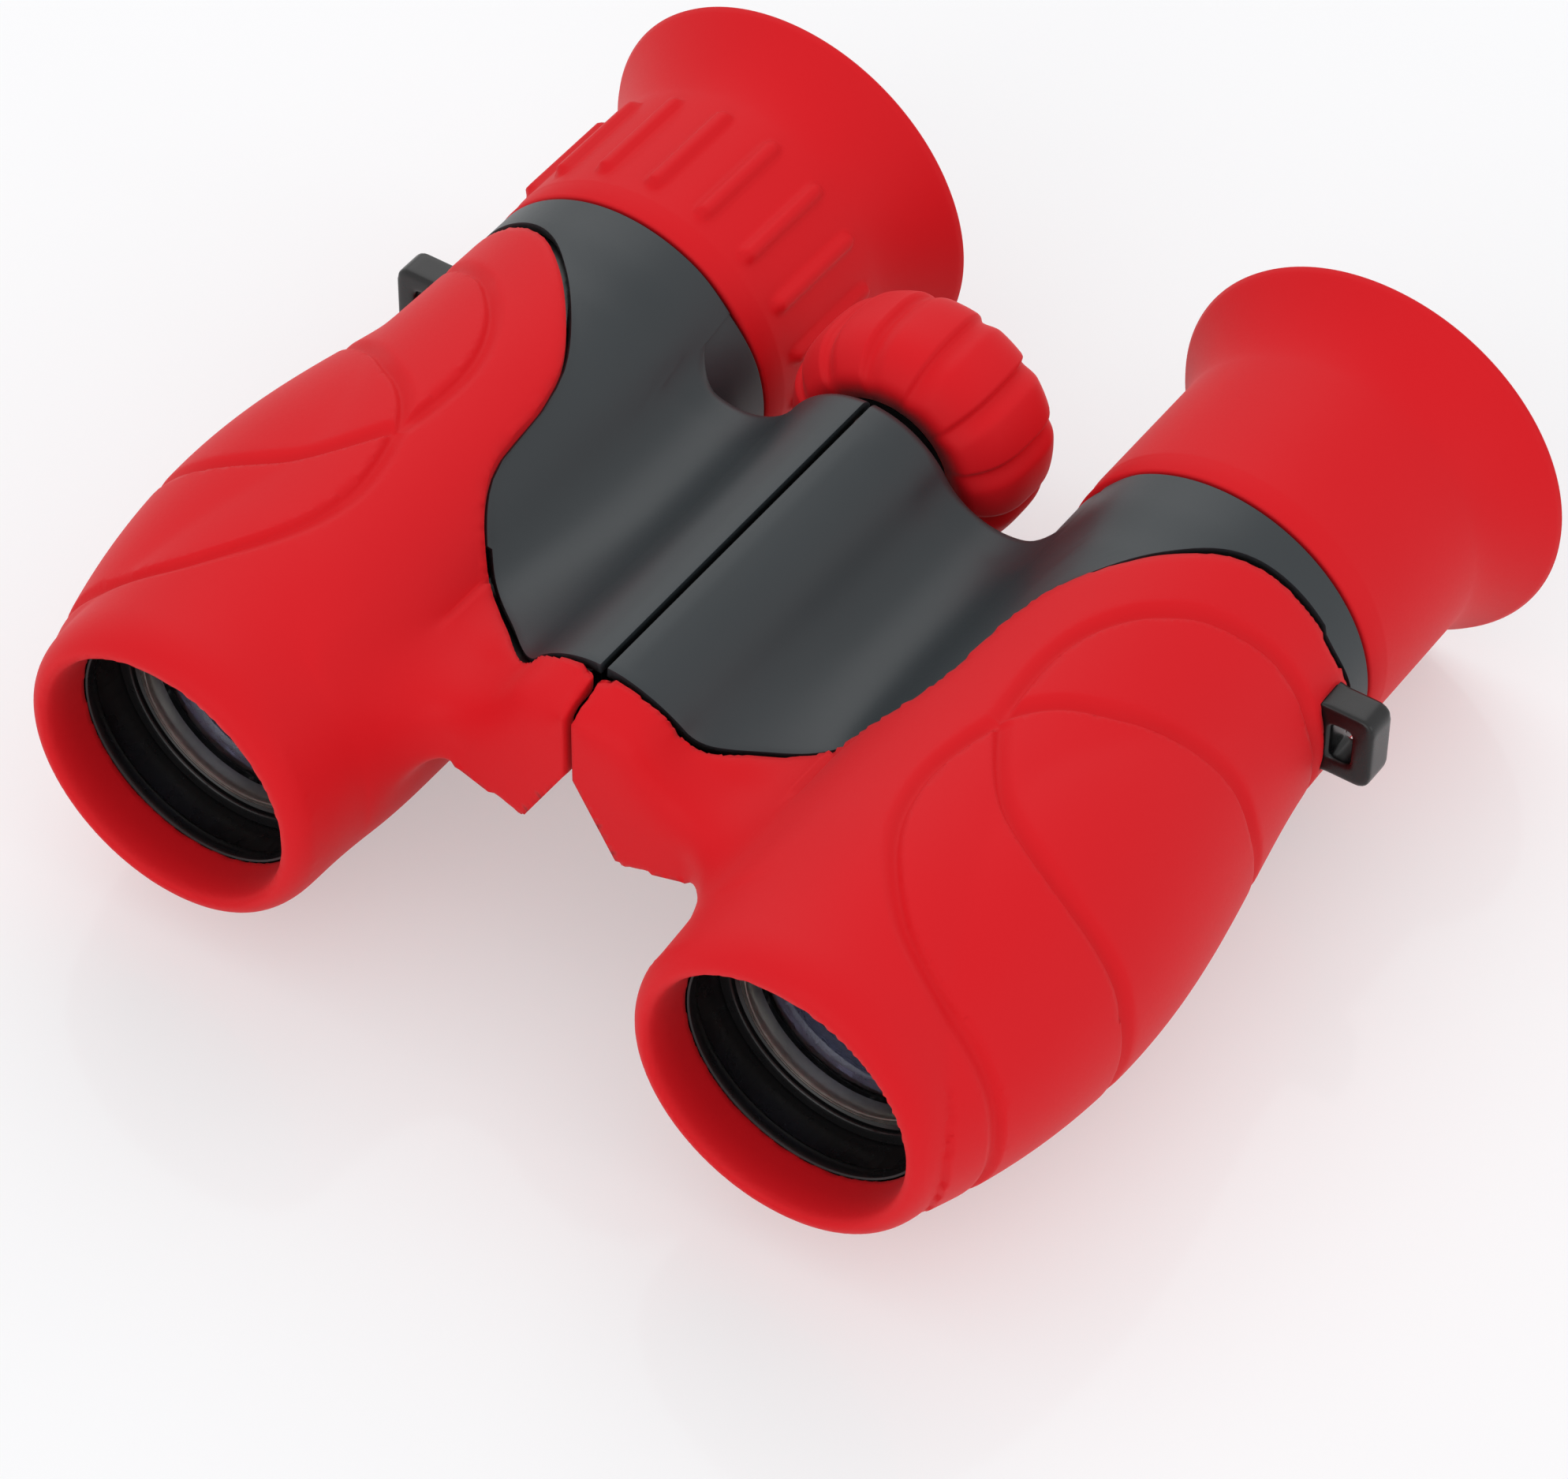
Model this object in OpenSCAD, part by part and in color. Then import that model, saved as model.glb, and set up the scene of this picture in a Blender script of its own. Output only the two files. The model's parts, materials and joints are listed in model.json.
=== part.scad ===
// Compact roof-prism binoculars for children: two rubber-armoured barrels on one hinge,
// a focus wheel at the rear of the hinge and a dioptre ring on one eyepiece.
// Millimetres. +Z is up, the objectives look along -Y and the eyecups point along +Y.
// Inside the modules y is the distance from the front lip, z is the height above the barrel axes.

/* [Overall] */
// Length from the front lip of the barrels to the rim of the eyecups
body_len = 101.6; // [98:0.1:112]
// Distance of each barrel axis from the hinge plane, fully open
half_spacing = 33.8; // [33:0.1:36]
// Height of the hinge axis above the barrel axes
hinge_rise = 6.4; // [5.5:0.1:7]

/* [Armour] */
// Outer radius of the barrel armour between front and collar
armour_r = 17; // [16.8:0.1:18]
// Outer radius of the armour just behind its front lip
front_r = 16.2; // [15.8:0.1:16.6]
// Outer radius of the armour at its rear edge
rear_r = 16.7; // [16.4:0.1:17]
// Thickness of the rubber on the web and the ears
armour_t = 1.9; // [1.5:0.1:2.2]
// Radius of the open mouth in front of each objective
mouth_r = 13.1; // [12.6:0.1:13.2]
// Depth of the mouth's rubber wall
mouth_len = 5.6; // [5:0.1:7]
// Length of the round nose of the front lip
nose_len = 5; // [3.5:0.5:6]
// How far the grip swell stands out on the outer side
swell_out = 4.4; // [3:0.1:5]
// How far the grip swell hangs below the barrel axis
swell_drop = 0.8; // [0:0.1:1.5]
// Place of the widest point of the grip swell
swell_y = 29.6; // [28:0.1:32]
// Length of the swell in front of its widest point
swell_front = 27; // [24:0.5:28]
// Length of the swell behind its widest point
swell_rear = 42; // [34:0.5:44]

/* [Hinge] */
// Outer radius of the hub over the hinge
hub_r = 10.2; // [9.8:0.1:10.8]
// Height of the valley floor between hub and barrel, above the barrel axes
valley_floor = 8.1; // [7.6:0.1:8.6]
// Radius of the arch below the web
arch_r = 4; // [3.5:0.1:4.5]
// Width of the split between the two halves
split_gap = 0.8; // [0.6:0.1:1.2]
// Front face of the web, from the front lip
web_front = 16.6; // [16:0.1:17.5]
// Distance of the web's rear face in front of the armour's rear edge
web_back = 3.8; // [3.3:0.1:4.5]
// Half angle of the notch below the hinge
notch_half = 30.8; // [29.5:0.1:33]
// Radius of the hinge knuckles
knuckle_r = 6.5; // [6:0.1:6.8]
// Outer radius of the hollow hinge tube
tube_r = 3; // [2.8:0.1:3.4]

/* [Cover] */
// How far the grey cover lies below the armour
cover_sink = 0.7; // [0.5:0.1:0.9]
// Thickness of the grey cover
cover_t = 1.1; // [0.9:0.1:1.1]
// Outer radius of the collar ring
collar_r = 16.6; // [16.3:0.1:16.9]
// Length of the collar ring between armour and eyecup
collar_len = 3.7; // [3:0.1:4.5]
// Seam between the cover and the armour
seam_gap = 0.6; // [0.4:0.1:0.8]

/* [Eyecups] */
// Length of the eyecups
cup_len = 28.5; // [27:0.1:30]
// Depth of the well behind the eye lens, from the rim
well_len = 9.6; // [8:0.1:10.5]
// Outer radius of the eyecup tube
cup_r = 16.8; // [16.6:0.1:17.2]
// Outer radius of the flared rim, on which the part rests
rim_r = 20.9; // [20:0.1:22]
// Length of the flared part of the cup
flare_len = 9.5; // [8:0.5:11]
// Thickness of the rim
rim_t = 1.3; // [1.1:0.1:1.8]
// Height of the grip ribs on the dioptre cup
rib_h = 0.8; // [0.5:0.1:1]
// Number of grip ribs round the dioptre cup
rib_count = 18; // [10:1:20]

/* [Optics] */
// Bore of the barrel chassis
bore_r = 13.3; // [13.2:0.1:13.5]
// Clear radius of the objective lens inside its ring
objective_r = 10.45; // [9.5:0.05:10.6]
// Front of the objective cell, from the front lip
cell_front = 10.6; // [10:0.1:12]
// Travel of the objective cells each way from the middle
focus_travel = 1.4; // [1:0.1:1.5]
// Travel of the dioptre eyepiece each way from the middle
dioptre_travel = 0.6; // [0.3:0.1:0.8]

/* [Focus wheel] */
// Largest radius of the rubber tyre
wheel_r = 12.8; // [12:0.1:13.5]
// Gap between the web's rear face and the wheel
wheel_gap = 1.9; // [1.5:0.1:2.5]
// Length of the wheel in front of its widest place
wheel_fore = 6.6; // [6:0.1:6.8]
// Length of the wheel behind its widest place
wheel_aft = 7.2; // [6.8:0.1:7.6]
// Radius of the sliding focus rod
rod_r = 2; // [1.8:0.1:2.2]
// Number of grooves round the tyre
groove_count = 12; // [10:1:18]

/* [Strap lugs] */
// How far a lug reaches from the barrel axis
lug_reach = 21.6; // [21:0.1:22]
// Depth of a lug along the barrel
lug_depth = 3.6; // [3.2:0.1:4]
// Height of a lug
lug_height = 8.4; // [7.5:0.1:9]
// Height of the middle of a lug above the barrel axis
lug_rise = 0.6; // [0:0.1:1]
// Distance of a lug's front face in front of the armour's rear edge
lug_back = 4.7; // [4.2:0.1:5.2]

/* [Hidden] */
$fn = 96;

run_gap = 0.08;
fit_gap = 0.1;
knuckle_gap = 0.3;
cup_gap = 0.2;
bite = 0.4;
over = 1;

rubber_red = "#d21f2b";
satin_grey = "#454c50";
black_plastic = "#1b1c1e";
lens_glass = "#93a9b8";
bare_metal = "#a9adb0";

axis_z = rim_r;
cup_front = body_len - cup_len;
armour_end = cup_front - collar_len;
web_rear = armour_end - web_back;
lug_front = armour_end - lug_back;
chassis_r = armour_r - armour_t + fit_gap;
chassis_inset = armour_t + fit_gap;
chassis_front = mouth_len + fit_gap;
chassis_end = cup_front - cup_gap;
hub_clear_r = knuckle_r + knuckle_gap;
hub_bore_r = tube_r + run_gap;

// The valley's circle touches hub and barrel and its floor, less a small bite so that faces cross
hub_c = [0, hinge_rise];
barrel_c = [half_spacing, 0];
hub_touch = hub_r - bite;
barrel_touch = armour_r - bite;
floor_rise = valley_floor - hinge_rise;
hub_a = hub_touch * hub_touch - floor_rise * floor_rise;
hub_b = 2 * (hub_touch - floor_rise);
barrel_a = barrel_touch * barrel_touch - valley_floor * valley_floor;
barrel_b = 2 * (barrel_touch - valley_floor);
ratio_b = barrel_b / hub_b;
quad_a = 1 - ratio_b;
quad_c = half_spacing * half_spacing - barrel_a + ratio_b * hub_a;
valley_x = (half_spacing - sqrt(half_spacing * half_spacing - quad_a * quad_c)) / quad_a;
valley_r = (valley_x * valley_x - hub_a) / hub_b;
valley_c = [valley_x, valley_floor + valley_r];
arch_top = 0.5;
arch_z = arch_top - arch_r;
arch_c = [half_spacing - sqrt(pow(armour_r + arch_r - bite, 2) - pow(arch_z, 2)), arch_z];
arch_foot = arch_c + arch_r * [cos(115), sin(115)];
notch_len = 9.8;
notch_tip = hub_c + notch_len * [sin(notch_half), -cos(notch_half)];
foot_angle = atan2(arch_foot[1] - notch_tip[1], arch_foot[0] - notch_tip[0]);

// Stations along the hinge, from the front lip
chamber_front = web_front + armour_t;
chamber_len = 9.1;
cell_len = 15.5;
knuckle_1 = chamber_front + chamber_len;
knuckle_4 = web_rear - cup_gap;
knuckle_2 = knuckle_1 + 0.22 * (knuckle_4 - knuckle_1);
knuckle_3 = knuckle_1 + 0.7 * (knuckle_4 - knuckle_1);
arm_t = 1.6;
arm_z = hinge_rise - 2.55;
eye_r = 4.2;
rod_clip_t = 0.8;
rod_clip_y = chamber_front + focus_travel + 0.2;
left_arm_y = rod_clip_y + rod_clip_t + fit_gap;
right_arm_y = left_arm_y + arm_t + 2 * fit_gap;
collar_y = right_arm_y + arm_t + fit_gap;
collar_t = 0.9;
wheel_front = web_rear + wheel_gap;
wheel_mid = wheel_front + wheel_fore;
wheel_end = wheel_mid + wheel_aft;
spigot_end = wheel_front + 7.2;
rod_end = spigot_end + 3.8;
clip_t = 0.8;

// Stations along the eyepiece, from the front lip
tube_seat = 17.8;
tube_front = chassis_end - tube_seat;
cage_gap = 0.5;
cage_front = cell_front + cell_len + focus_travel + cage_gap;
cage_end = tube_front - cage_gap;
cage_wall = 3;
flange_t = 1.5;
flange_end = cup_front + flange_t;
floor_t = 1.4;
cup_floor = body_len - well_len;
sleeve_end = cup_floor - floor_t;
flare_start = body_len - flare_len;
tube_wall = 1.8;
sleeve_t = 1.5;
eye_tube_r = bore_r;
eye_cell_r = bore_r - tube_wall;
sleeve_r = bore_r + sleeve_t;
seat_wall = 2;
seat_r = eye_cell_r - seat_wall;
seat_step = 1;

// Outer radius of the armour without the swell
taper_front = nose_len;
taper_len = 16;
taper_rear = 44.6;
function ease(t) = (1 - cos(180 * min(1, max(0, t)))) / 2;
function base_r(y) =
  y < taper_rear
    ? front_r + (armour_r - front_r) * ease((y - taper_front) / taper_len)
    : armour_r + (rear_r - armour_r) * ease((y - taper_rear) / (armour_end - taper_rear));

// Radius of the grip swell about its own axis, d from its widest point
swell_fall = swell_out + 0.6;
function swell_rad(d) =
  d < 0
    ? armour_r - swell_fall * pow(d / swell_front, 2)
    : armour_r - swell_fall * ease(d / swell_rear);

// Plan outline of the grey cover: hub, valley, barrel flank, then round to the collar
cover_back = 4.5;
cover_front = web_front + cover_back;
cover_len = armour_end - cover_front;
flank = half_spacing - 9.8;
cover_far = 1.53 * armour_r;
cover_knots = [
  [-3, cover_front],
  [0, cover_front],
  [7.5, cover_front + 1],
  [0.58 * flank, cover_front + 0.13 * cover_len],
  [0.83 * flank, cover_front + 0.236 * cover_len],
  [flank, cover_front + 0.373 * cover_len],
  [flank + 1.2, cover_front + 0.58 * cover_len],
  [flank + 3.5, cover_front + 0.714 * cover_len],
  [half_spacing - 0.2, cover_front + 0.872 * cover_len],
  [half_spacing + 7, armour_end - 1.4],
  [half_spacing + 0.73 * cover_far, armour_end],
  [half_spacing + cover_far, armour_end]
];
knot_steps = 3;
function knot_point(a, b, c, d, t) =
  0.5 * (2 * b + (c - a) * t + (2 * a - 5 * b + 4 * c - d) * t * t
    + (3 * b - a - 3 * c + d) * t * t * t);
cover_edge = [
  for (i = [1:len(cover_knots) - 3], j = [0:knot_steps - 1])
    knot_point(cover_knots[i - 1], cover_knots[i], cover_knots[i + 1], cover_knots[i + 2], j / knot_steps)
];
function edge_normal(p, i) =
  let (a = p[max(0, i - 1)], b = p[min(len(p) - 1, i + 1)], d = (b - a) / norm(b - a))
  [d[1], -d[0]];
function pushed(p, by) = [for (i = [0:len(p) - 1]) p[i] + by * edge_normal(p, i)];

module place() translate([0, -body_len / 2, axis_z]) children();
module left_side() mirror([1, 0, 0]) children();
// A profile of radius and distance, turned about a Y axis
module turned() rotate([-90, 0, 0]) rotate_extrude() children();
// A section drawn across and up, drawn out along Y
module along(y0, y1) translate([0, y1, 0]) rotate([90, 0, 0]) linear_extrude(y1 - y0) children();
module rod(r, y0, y1) translate([0, y0, 0]) rotate([-90, 0, 0]) cylinder(r = r, h = y1 - y0);
module pipe(r_out, r_in, y0, y1) {
  turned() translate([r_in, y0]) square([r_out - r_in, y1 - y0]);
}
module at_barrel() translate([half_spacing, 0, 0]) children();
module at_hinge() translate([0, 0, hinge_rise]) children();

// Half of the web section: hub, valley, flank and arch, all drawn in by inset
module web_section(inset, face_inset) {
  face = split_gap / 2 + face_inset;
  difference() {
    union() {
      intersection() {
        translate(hub_c) circle(r = hub_r - inset);
        translate([0, hinge_rise - hub_r]) square([hub_r, 2 * hub_r]);
      }
      polygon([hub_c, valley_c, barrel_c, arch_c, arch_foot, notch_tip]);
    }
    translate(valley_c) circle(r = valley_r + inset);
    translate(arch_c) circle(r = arch_r + inset);
    translate([-over, -armour_r]) square([face + over, 3 * armour_r]);
    translate(hub_c) rotate(notch_half) translate([-armour_r, -armour_r - face])
      square([armour_r + face, armour_r]);
    if (inset > 0)
      translate(notch_tip) rotate(foot_angle) translate([-armour_r, -armour_r + inset])
        square([armour_r + norm(arch_foot - notch_tip), armour_r]);
  }
}

// Everything above the barrel axis inside the cover's plan outline
module cover_prism(grow) {
  edge = pushed(cover_edge, grow);
  translate([0, 0, 1.5]) linear_extrude(hub_r + armour_r)
    polygon(concat([[-over, cover_front - grow]], edge,
      [[half_spacing + cover_far, body_len], [-over, body_len]]));
}

module chassis(own, clear, arm_y) {
  difference() {
    union() {
      at_barrel() rod(chassis_r, chassis_front, chassis_end);
      difference() {
        along(chamber_front + fit_gap, knuckle_4) web_section(chassis_inset, chassis_inset);
        for (c = clear) at_hinge() rod(hub_clear_r, c[0], c[1]);
      }
      for (k = own) at_hinge() rod(knuckle_r, k[0], k[1]);
    }
    at_barrel() rod(bore_r, 0, body_len);
    at_hinge() rod(hub_bore_r, 0, body_len);
    // Slot for the focus arm, from the hub to the inside of the barrel
    translate([tube_r, arm_y - focus_travel - 0.3, arm_z - 1.1])
      cube([half_spacing - tube_r - bore_r + 2, arm_t + 2 * focus_travel + 0.6, 2.2]);
  }
}

module cover() {
  difference() {
    union() {
      intersection() {
        cover_prism(0);
        difference() {
          union() {
            at_barrel() rod(collar_r - 0.3, cover_front, cup_front - cup_gap);
            along(cover_front - over, web_rear) web_section(cover_sink, 0);
          }
          along(0, body_len) web_section(cover_sink + cover_t, cover_t);
          at_hinge() rod(hub_clear_r, 0, body_len);
        }
      }
      at_barrel() pipe(collar_r, chassis_r + fit_gap, armour_end + seam_gap, cup_front - cup_gap);
    }
    at_barrel() rod(chassis_r + fit_gap, 0, body_len);
  }
}

module armour() {
  edge_r = 0.8;
  crest_r = mouth_r + edge_r;
  stations = [for (i = [1:10]) nose_len + (armour_end - nose_len) * i / 10];
  swell_steps = 6;
  swell = [
    for (i = [-swell_steps:swell_steps])
      let (d = i < 0 ? i * swell_front / swell_steps : i * swell_rear / swell_steps)
      [swell_rad(d), swell_y + d]
  ];
  difference() {
    union() {
      at_barrel() turned() polygon(concat(
        [for (t = [0:45:90]) [crest_r - edge_r * cos(t), edge_r - edge_r * sin(t)]],
        [for (t = [75:-15:0]) [crest_r + (front_r - crest_r) * cos(t), nose_len * (1 - sin(t))]],
        [for (y = stations) [base_r(y), y]],
        [[mouth_r, armour_end]]));
      intersection() {
        translate([half_spacing + swell_out, 0, -swell_drop]) turned()
          polygon(concat([[0, swell_y - swell_front]], swell, [[0, swell_y + swell_rear]]));
        at_barrel() rod(2 * armour_r, 0, armour_end);
      }
      along(web_front, web_rear) web_section(0, 0);
    }
    at_barrel() rod(mouth_r, -over, mouth_len + over);
    at_barrel() rod(chassis_r + fit_gap, mouth_len, body_len);
    along(chamber_front, body_len) web_section(armour_t, armour_t);
    at_hinge() rod(hub_clear_r, chamber_front, body_len);
    cover_prism(seam_gap);
    // Sloping top edge at the front of the hub
    translate([-over, web_front, hinge_rise + 0.7 * hub_r]) rotate([35, 0, 0]) cube(1.5 * hub_r * [1, 1, 1]);
    at_barrel() lug_block(fit_gap);
  }
}

module lug_block(grow) {
  translate([chassis_r + fit_gap - grow, lug_front - grow, lug_rise - lug_height / 2 - grow])
    cube([lug_reach - chassis_r - fit_gap + 2 * grow, lug_depth + 2 * grow, lug_height + 2 * grow]);
}

// A block with a round outer edge and a slot for the strap
module strap_lug() {
  corner = 1.4;
  slot_h = lug_height / 2;
  slot_w = 0.45 * (lug_reach - rear_r);
  slot_wall = slot_w;
  at_barrel() difference() {
    lug_block(0);
    for (s = [-1, 1])
      translate([lug_reach, 0, lug_rise + s * lug_height / 2]) difference() {
        translate([-corner, lug_front - over, -corner]) cube([2 * corner, lug_depth + 2 * over, 2 * corner]);
        translate([-corner, 0, -s * corner]) rod(corner, lug_front - 2 * over, lug_front + lug_depth + 2 * over);
      }
    translate([lug_reach - slot_wall - slot_w, lug_front - over, lug_rise - slot_h / 2])
      cube([slot_w, lug_depth + 2 * over, slot_h]);
    rod(chassis_r + fit_gap, 0, body_len);
  }
}

// Prism seat: a plug in the bore with a pocket and a light path
prism_half = 8.4;
prism_len = cage_end - cage_front - 2 * cage_wall;
light_r = 7.5;
module prism_cage() {
  pocket = prism_half + fit_gap;
  at_barrel() difference() {
    rod(bore_r - fit_gap, cage_front, cage_end);
    translate([-pocket, cage_front + cage_wall, -pocket]) cube([2 * pocket, prism_len, 2 * pocket]);
    rod(light_r, cage_front - over, cage_end + over);
  }
}

// Side outlines of the two prisms, drawn along the barrel and up, with an air gap between them
prism_cut = 0.5 * prism_len;
prism_air = 0.6;
module prism_slab(points) {
  at_barrel() translate([-prism_half, cage_front + cage_wall, 0]) rotate([90, 0, 90])
    linear_extrude(2 * prism_half) polygon(points);
}
module half_prism() {
  prism_slab([
    [fit_gap, -prism_half], [fit_gap, prism_half], [0.1 * prism_len, prism_half],
    [prism_cut, 0], [prism_cut, -prism_half]
  ]);
}
module roof_prism() {
  prism_slab([
    [0.1 * prism_len + prism_air, prism_half], [prism_len - fit_gap, prism_half],
    [prism_len - fit_gap, -prism_half], [prism_cut + prism_air, -prism_half], [prism_cut + prism_air, 0]
  ]);
}

module eyepiece_tube() {
  at_barrel() difference() {
    union() {
      rod(bore_r - fit_gap, tube_front, chassis_end);
      rod(sleeve_r - cup_gap, chassis_end, flange_end);
      rod(eye_tube_r, chassis_end, sleeve_end - cup_gap);
    }
    rod(eye_cell_r + run_gap, 0, body_len);
  }
}

// Stations of the two eyepiece lenses and of the ring that holds the rear one
field_front = tube_front + 5;
field_depth = 6;
eye_depth = 7;
eye_cell_end = sleeve_end - dioptre_travel - cup_gap;
eye_lens_t = 5;
field_lens_t = 5.4;
module eyepiece_cell() {
  at_barrel() difference() {
    rod(eye_cell_r, field_front, eye_cell_end);
    rod(seat_r - seat_step, 0, body_len);
    rod(seat_r, tube_front, field_front + field_depth);
    rod(seat_r, eye_cell_end - eye_depth, body_len);
  }
}

// A lens as a body of revolution between two spherical faces
module lens(r, y0, y1, bulge) {
  ball = (r * r + bulge * bulge) / (2 * bulge);
  arc = asin(r / ball);
  steps = 6;
  turned() polygon(concat(
    [for (i = [0:steps]) let (t = arc * i / steps) [ball * sin(t), y0 + ball * (1 - cos(t))]],
    [for (i = [0:steps]) let (t = arc * (1 - i / steps)) [ball * sin(t), y1 - ball * (1 - cos(t))]]));
}

lens_bulge = 1.3;
module field_lens() {
  field_end = field_front + field_depth;
  at_barrel() lens(seat_r - fit_gap, field_end - field_lens_t, field_end, lens_bulge);
}
module eye_lens() {
  eye_front = eye_cell_end - eye_depth;
  at_barrel() lens(seat_r - fit_gap, eye_front, eye_front + eye_lens_t, lens_bulge);
}
module eye_ring() {
  ring_w = 1.5;
  ring_front = eye_cell_end - eye_depth + eye_lens_t - 0.6 * lens_bulge;
  at_barrel() pipe(seat_r - fit_gap, seat_r - ring_w, ring_front, eye_cell_end - cup_gap);
}

module cup_sleeve() {
  at_barrel() pipe(sleeve_r, eye_tube_r + run_gap, flange_end + fit_gap, sleeve_end);
}

// Soft cup: tube over the sleeve, inner step, then a flare with a round rim
module cup() {
  steps = 6;
  inner_r = sleeve_r + fit_gap;
  step_r = eye_cell_r + 0.7;
  flare = [for (i = [0:steps]) let (t = i / steps) [cup_r + (rim_r - cup_r) * pow(t, 1.7), flare_start + flare_len * t]];
  well = [
    for (i = [steps:-1:0])
      let (t = i / steps)
      [inner_r + (rim_r - rim_t - inner_r) * pow(t, 1.5), cup_floor + (body_len - cup_floor) * t]
  ];
  at_barrel() turned() polygon(concat(
    [[inner_r, cup_front], [cup_r - 0.3, cup_front], [cup_r, cup_front + 2]],
    flare, well,
    [[step_r, cup_floor], [step_r, sleeve_end + fit_gap], [inner_r, sleeve_end + fit_gap]]));
}

module cup_ribs() {
  rib_w = 1.9;
  rib_y0 = cup_front + 4.2;
  rib_len = 13;
  at_barrel() for (i = [0:rib_count - 1])
    rotate([0, (i + 0.5) * 360 / rib_count, 0])
      translate([-rib_w / 2, rib_y0, cup_r - 1]) cube([rib_w, rib_len, 1 + rib_h]);
}

// Cell of the objective with its focus arm, the lens and the ring that holds it
ring_back = 0.6;
ring_t = 1.5;
ring_w = 1.1;
front_lens_t = 5;
front_lens_y = cell_front + ring_back + ring_t - 0.7;
lens_back = front_lens_y + front_lens_t + fit_gap;
module objective_cell(arm_y) {
  lens_seat = objective_r + ring_w;
  shoulder_t = 1.5;
  cell_wall = 1.2;
  difference() {
    union() {
      at_barrel() rod(bore_r - run_gap, cell_front, cell_front + cell_len);
      translate([eye_r - arm_t, arm_y, arm_z - arm_t / 2])
        cube([half_spacing - bore_r + cell_wall / 2 - eye_r + arm_t, arm_t, arm_t]);
      at_hinge() rod(eye_r, arm_y, arm_y + arm_t);
    }
    at_barrel() rod(lens_seat, 0, lens_back);
    at_barrel() rod(objective_r - fit_gap, 0, body_len);
    at_barrel() rod(bore_r - run_gap - cell_wall, cell_front - over, cell_front + ring_back);
    at_barrel() rod(bore_r - run_gap - cell_wall, lens_back + shoulder_t, body_len);
    at_hinge() rod(rod_r + run_gap, 0, body_len);
  }
}
module objective_lens() {
  at_barrel() lens(objective_r + ring_w - fit_gap, front_lens_y, front_lens_y + front_lens_t, lens_bulge);
}
module lens_ring() {
  ring_front = cell_front + ring_back;
  at_barrel() pipe(objective_r + ring_w - fit_gap, objective_r, ring_front, ring_front + ring_t);
}

module right_chassis() {
  color(black_plastic) place() chassis(
    [[knuckle_1, knuckle_2 - knuckle_gap / 2], [knuckle_3 + knuckle_gap / 2, knuckle_4]],
    [[0, knuckle_1], [knuckle_2 - knuckle_gap / 2, knuckle_3 + knuckle_gap / 2]],
    right_arm_y);
}
module left_chassis() {
  color(black_plastic) place() left_side() chassis(
    [[knuckle_2 + knuckle_gap / 2, knuckle_3 - knuckle_gap / 2]],
    [[0, knuckle_2 + knuckle_gap / 2], [knuckle_3 - knuckle_gap / 2, body_len]],
    left_arm_y);
}
module right_cover() { color(satin_grey) place() cover(); }
module left_cover() { color(satin_grey) place() left_side() cover(); }
module right_armour() { color(rubber_red) place() armour(); }
module left_armour() { color(rubber_red) place() left_side() armour(); }
module right_strap_lug() { color(black_plastic) place() strap_lug(); }
module left_strap_lug() { color(black_plastic) place() left_side() strap_lug(); }
module right_prism_cage() { color(black_plastic) place() prism_cage(); }
module left_prism_cage() { color(black_plastic) place() left_side() prism_cage(); }
module right_roof_prism() { color(lens_glass) place() roof_prism(); }
module left_roof_prism() { color(lens_glass) place() left_side() roof_prism(); }
module right_half_prism() { color(lens_glass) place() half_prism(); }
module left_half_prism() { color(lens_glass) place() left_side() half_prism(); }
module right_eyepiece_tube() { color(black_plastic) place() eyepiece_tube(); }
module left_eyepiece_tube() { color(black_plastic) place() left_side() eyepiece_tube(); }
module right_eyepiece_cell() { color(black_plastic) place() eyepiece_cell(); }
module left_eyepiece_cell() { color(black_plastic) place() left_side() eyepiece_cell(); }
module right_field_lens() { color(lens_glass) place() field_lens(); }
module left_field_lens() { color(lens_glass) place() left_side() field_lens(); }
module right_eye_lens() { color(lens_glass) place() eye_lens(); }
module left_eye_lens() { color(lens_glass) place() left_side() eye_lens(); }
module right_eye_ring() { color(black_plastic) place() eye_ring(); }
module left_eye_ring() { color(black_plastic) place() left_side() eye_ring(); }
module right_cup_sleeve() { color(black_plastic) place() cup_sleeve(); }
module left_dioptre_sleeve() { color(black_plastic) place() left_side() cup_sleeve(); }
module right_eyecup() { color(rubber_red) place() cup(); }
module left_eyecup() {
  color(rubber_red) place() left_side() union() {
    cup();
    cup_ribs();
  }
}

module right_objective_cell() { color(black_plastic) place() objective_cell(right_arm_y); }
module left_objective_cell() { color(black_plastic) place() left_side() objective_cell(left_arm_y); }
module right_objective_lens() { color(lens_glass) place() objective_lens(); }
module left_objective_lens() { color(lens_glass) place() left_side() objective_lens(); }
module right_lens_ring() { color(bare_metal) place() lens_ring(); }
module left_lens_ring() { color(bare_metal) place() left_side() lens_ring(); }

// Hollow pin of the hinge; its rear end is the spigot that the focus wheel turns on
module hinge_tube() {
  color(bare_metal) place() at_hinge() pipe(tube_r, rod_r + run_gap, knuckle_1, spigot_end);
}
// Snap ring on the spigot, inside the wheel, that keeps the wheel on
module hinge_clip() {
  color(bare_metal) place() at_hinge()
    pipe(tube_r + 1.6, tube_r, spigot_end - clip_t - 0.4, spigot_end - 0.4);
}
// Rod that slides in the hinge tube and carries the two focus arms
module focus_rod() {
  color(bare_metal) place() at_hinge() union() {
    rod(rod_r, rod_clip_y - 0.1, rod_end);
    rod(rod_r + 1.3, collar_y, collar_y + collar_t);
  }
}
module rod_clip() {
  color(bare_metal) place() at_hinge() pipe(rod_r + 1.2, rod_r, rod_clip_y, rod_clip_y + rod_clip_t);
}

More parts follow.
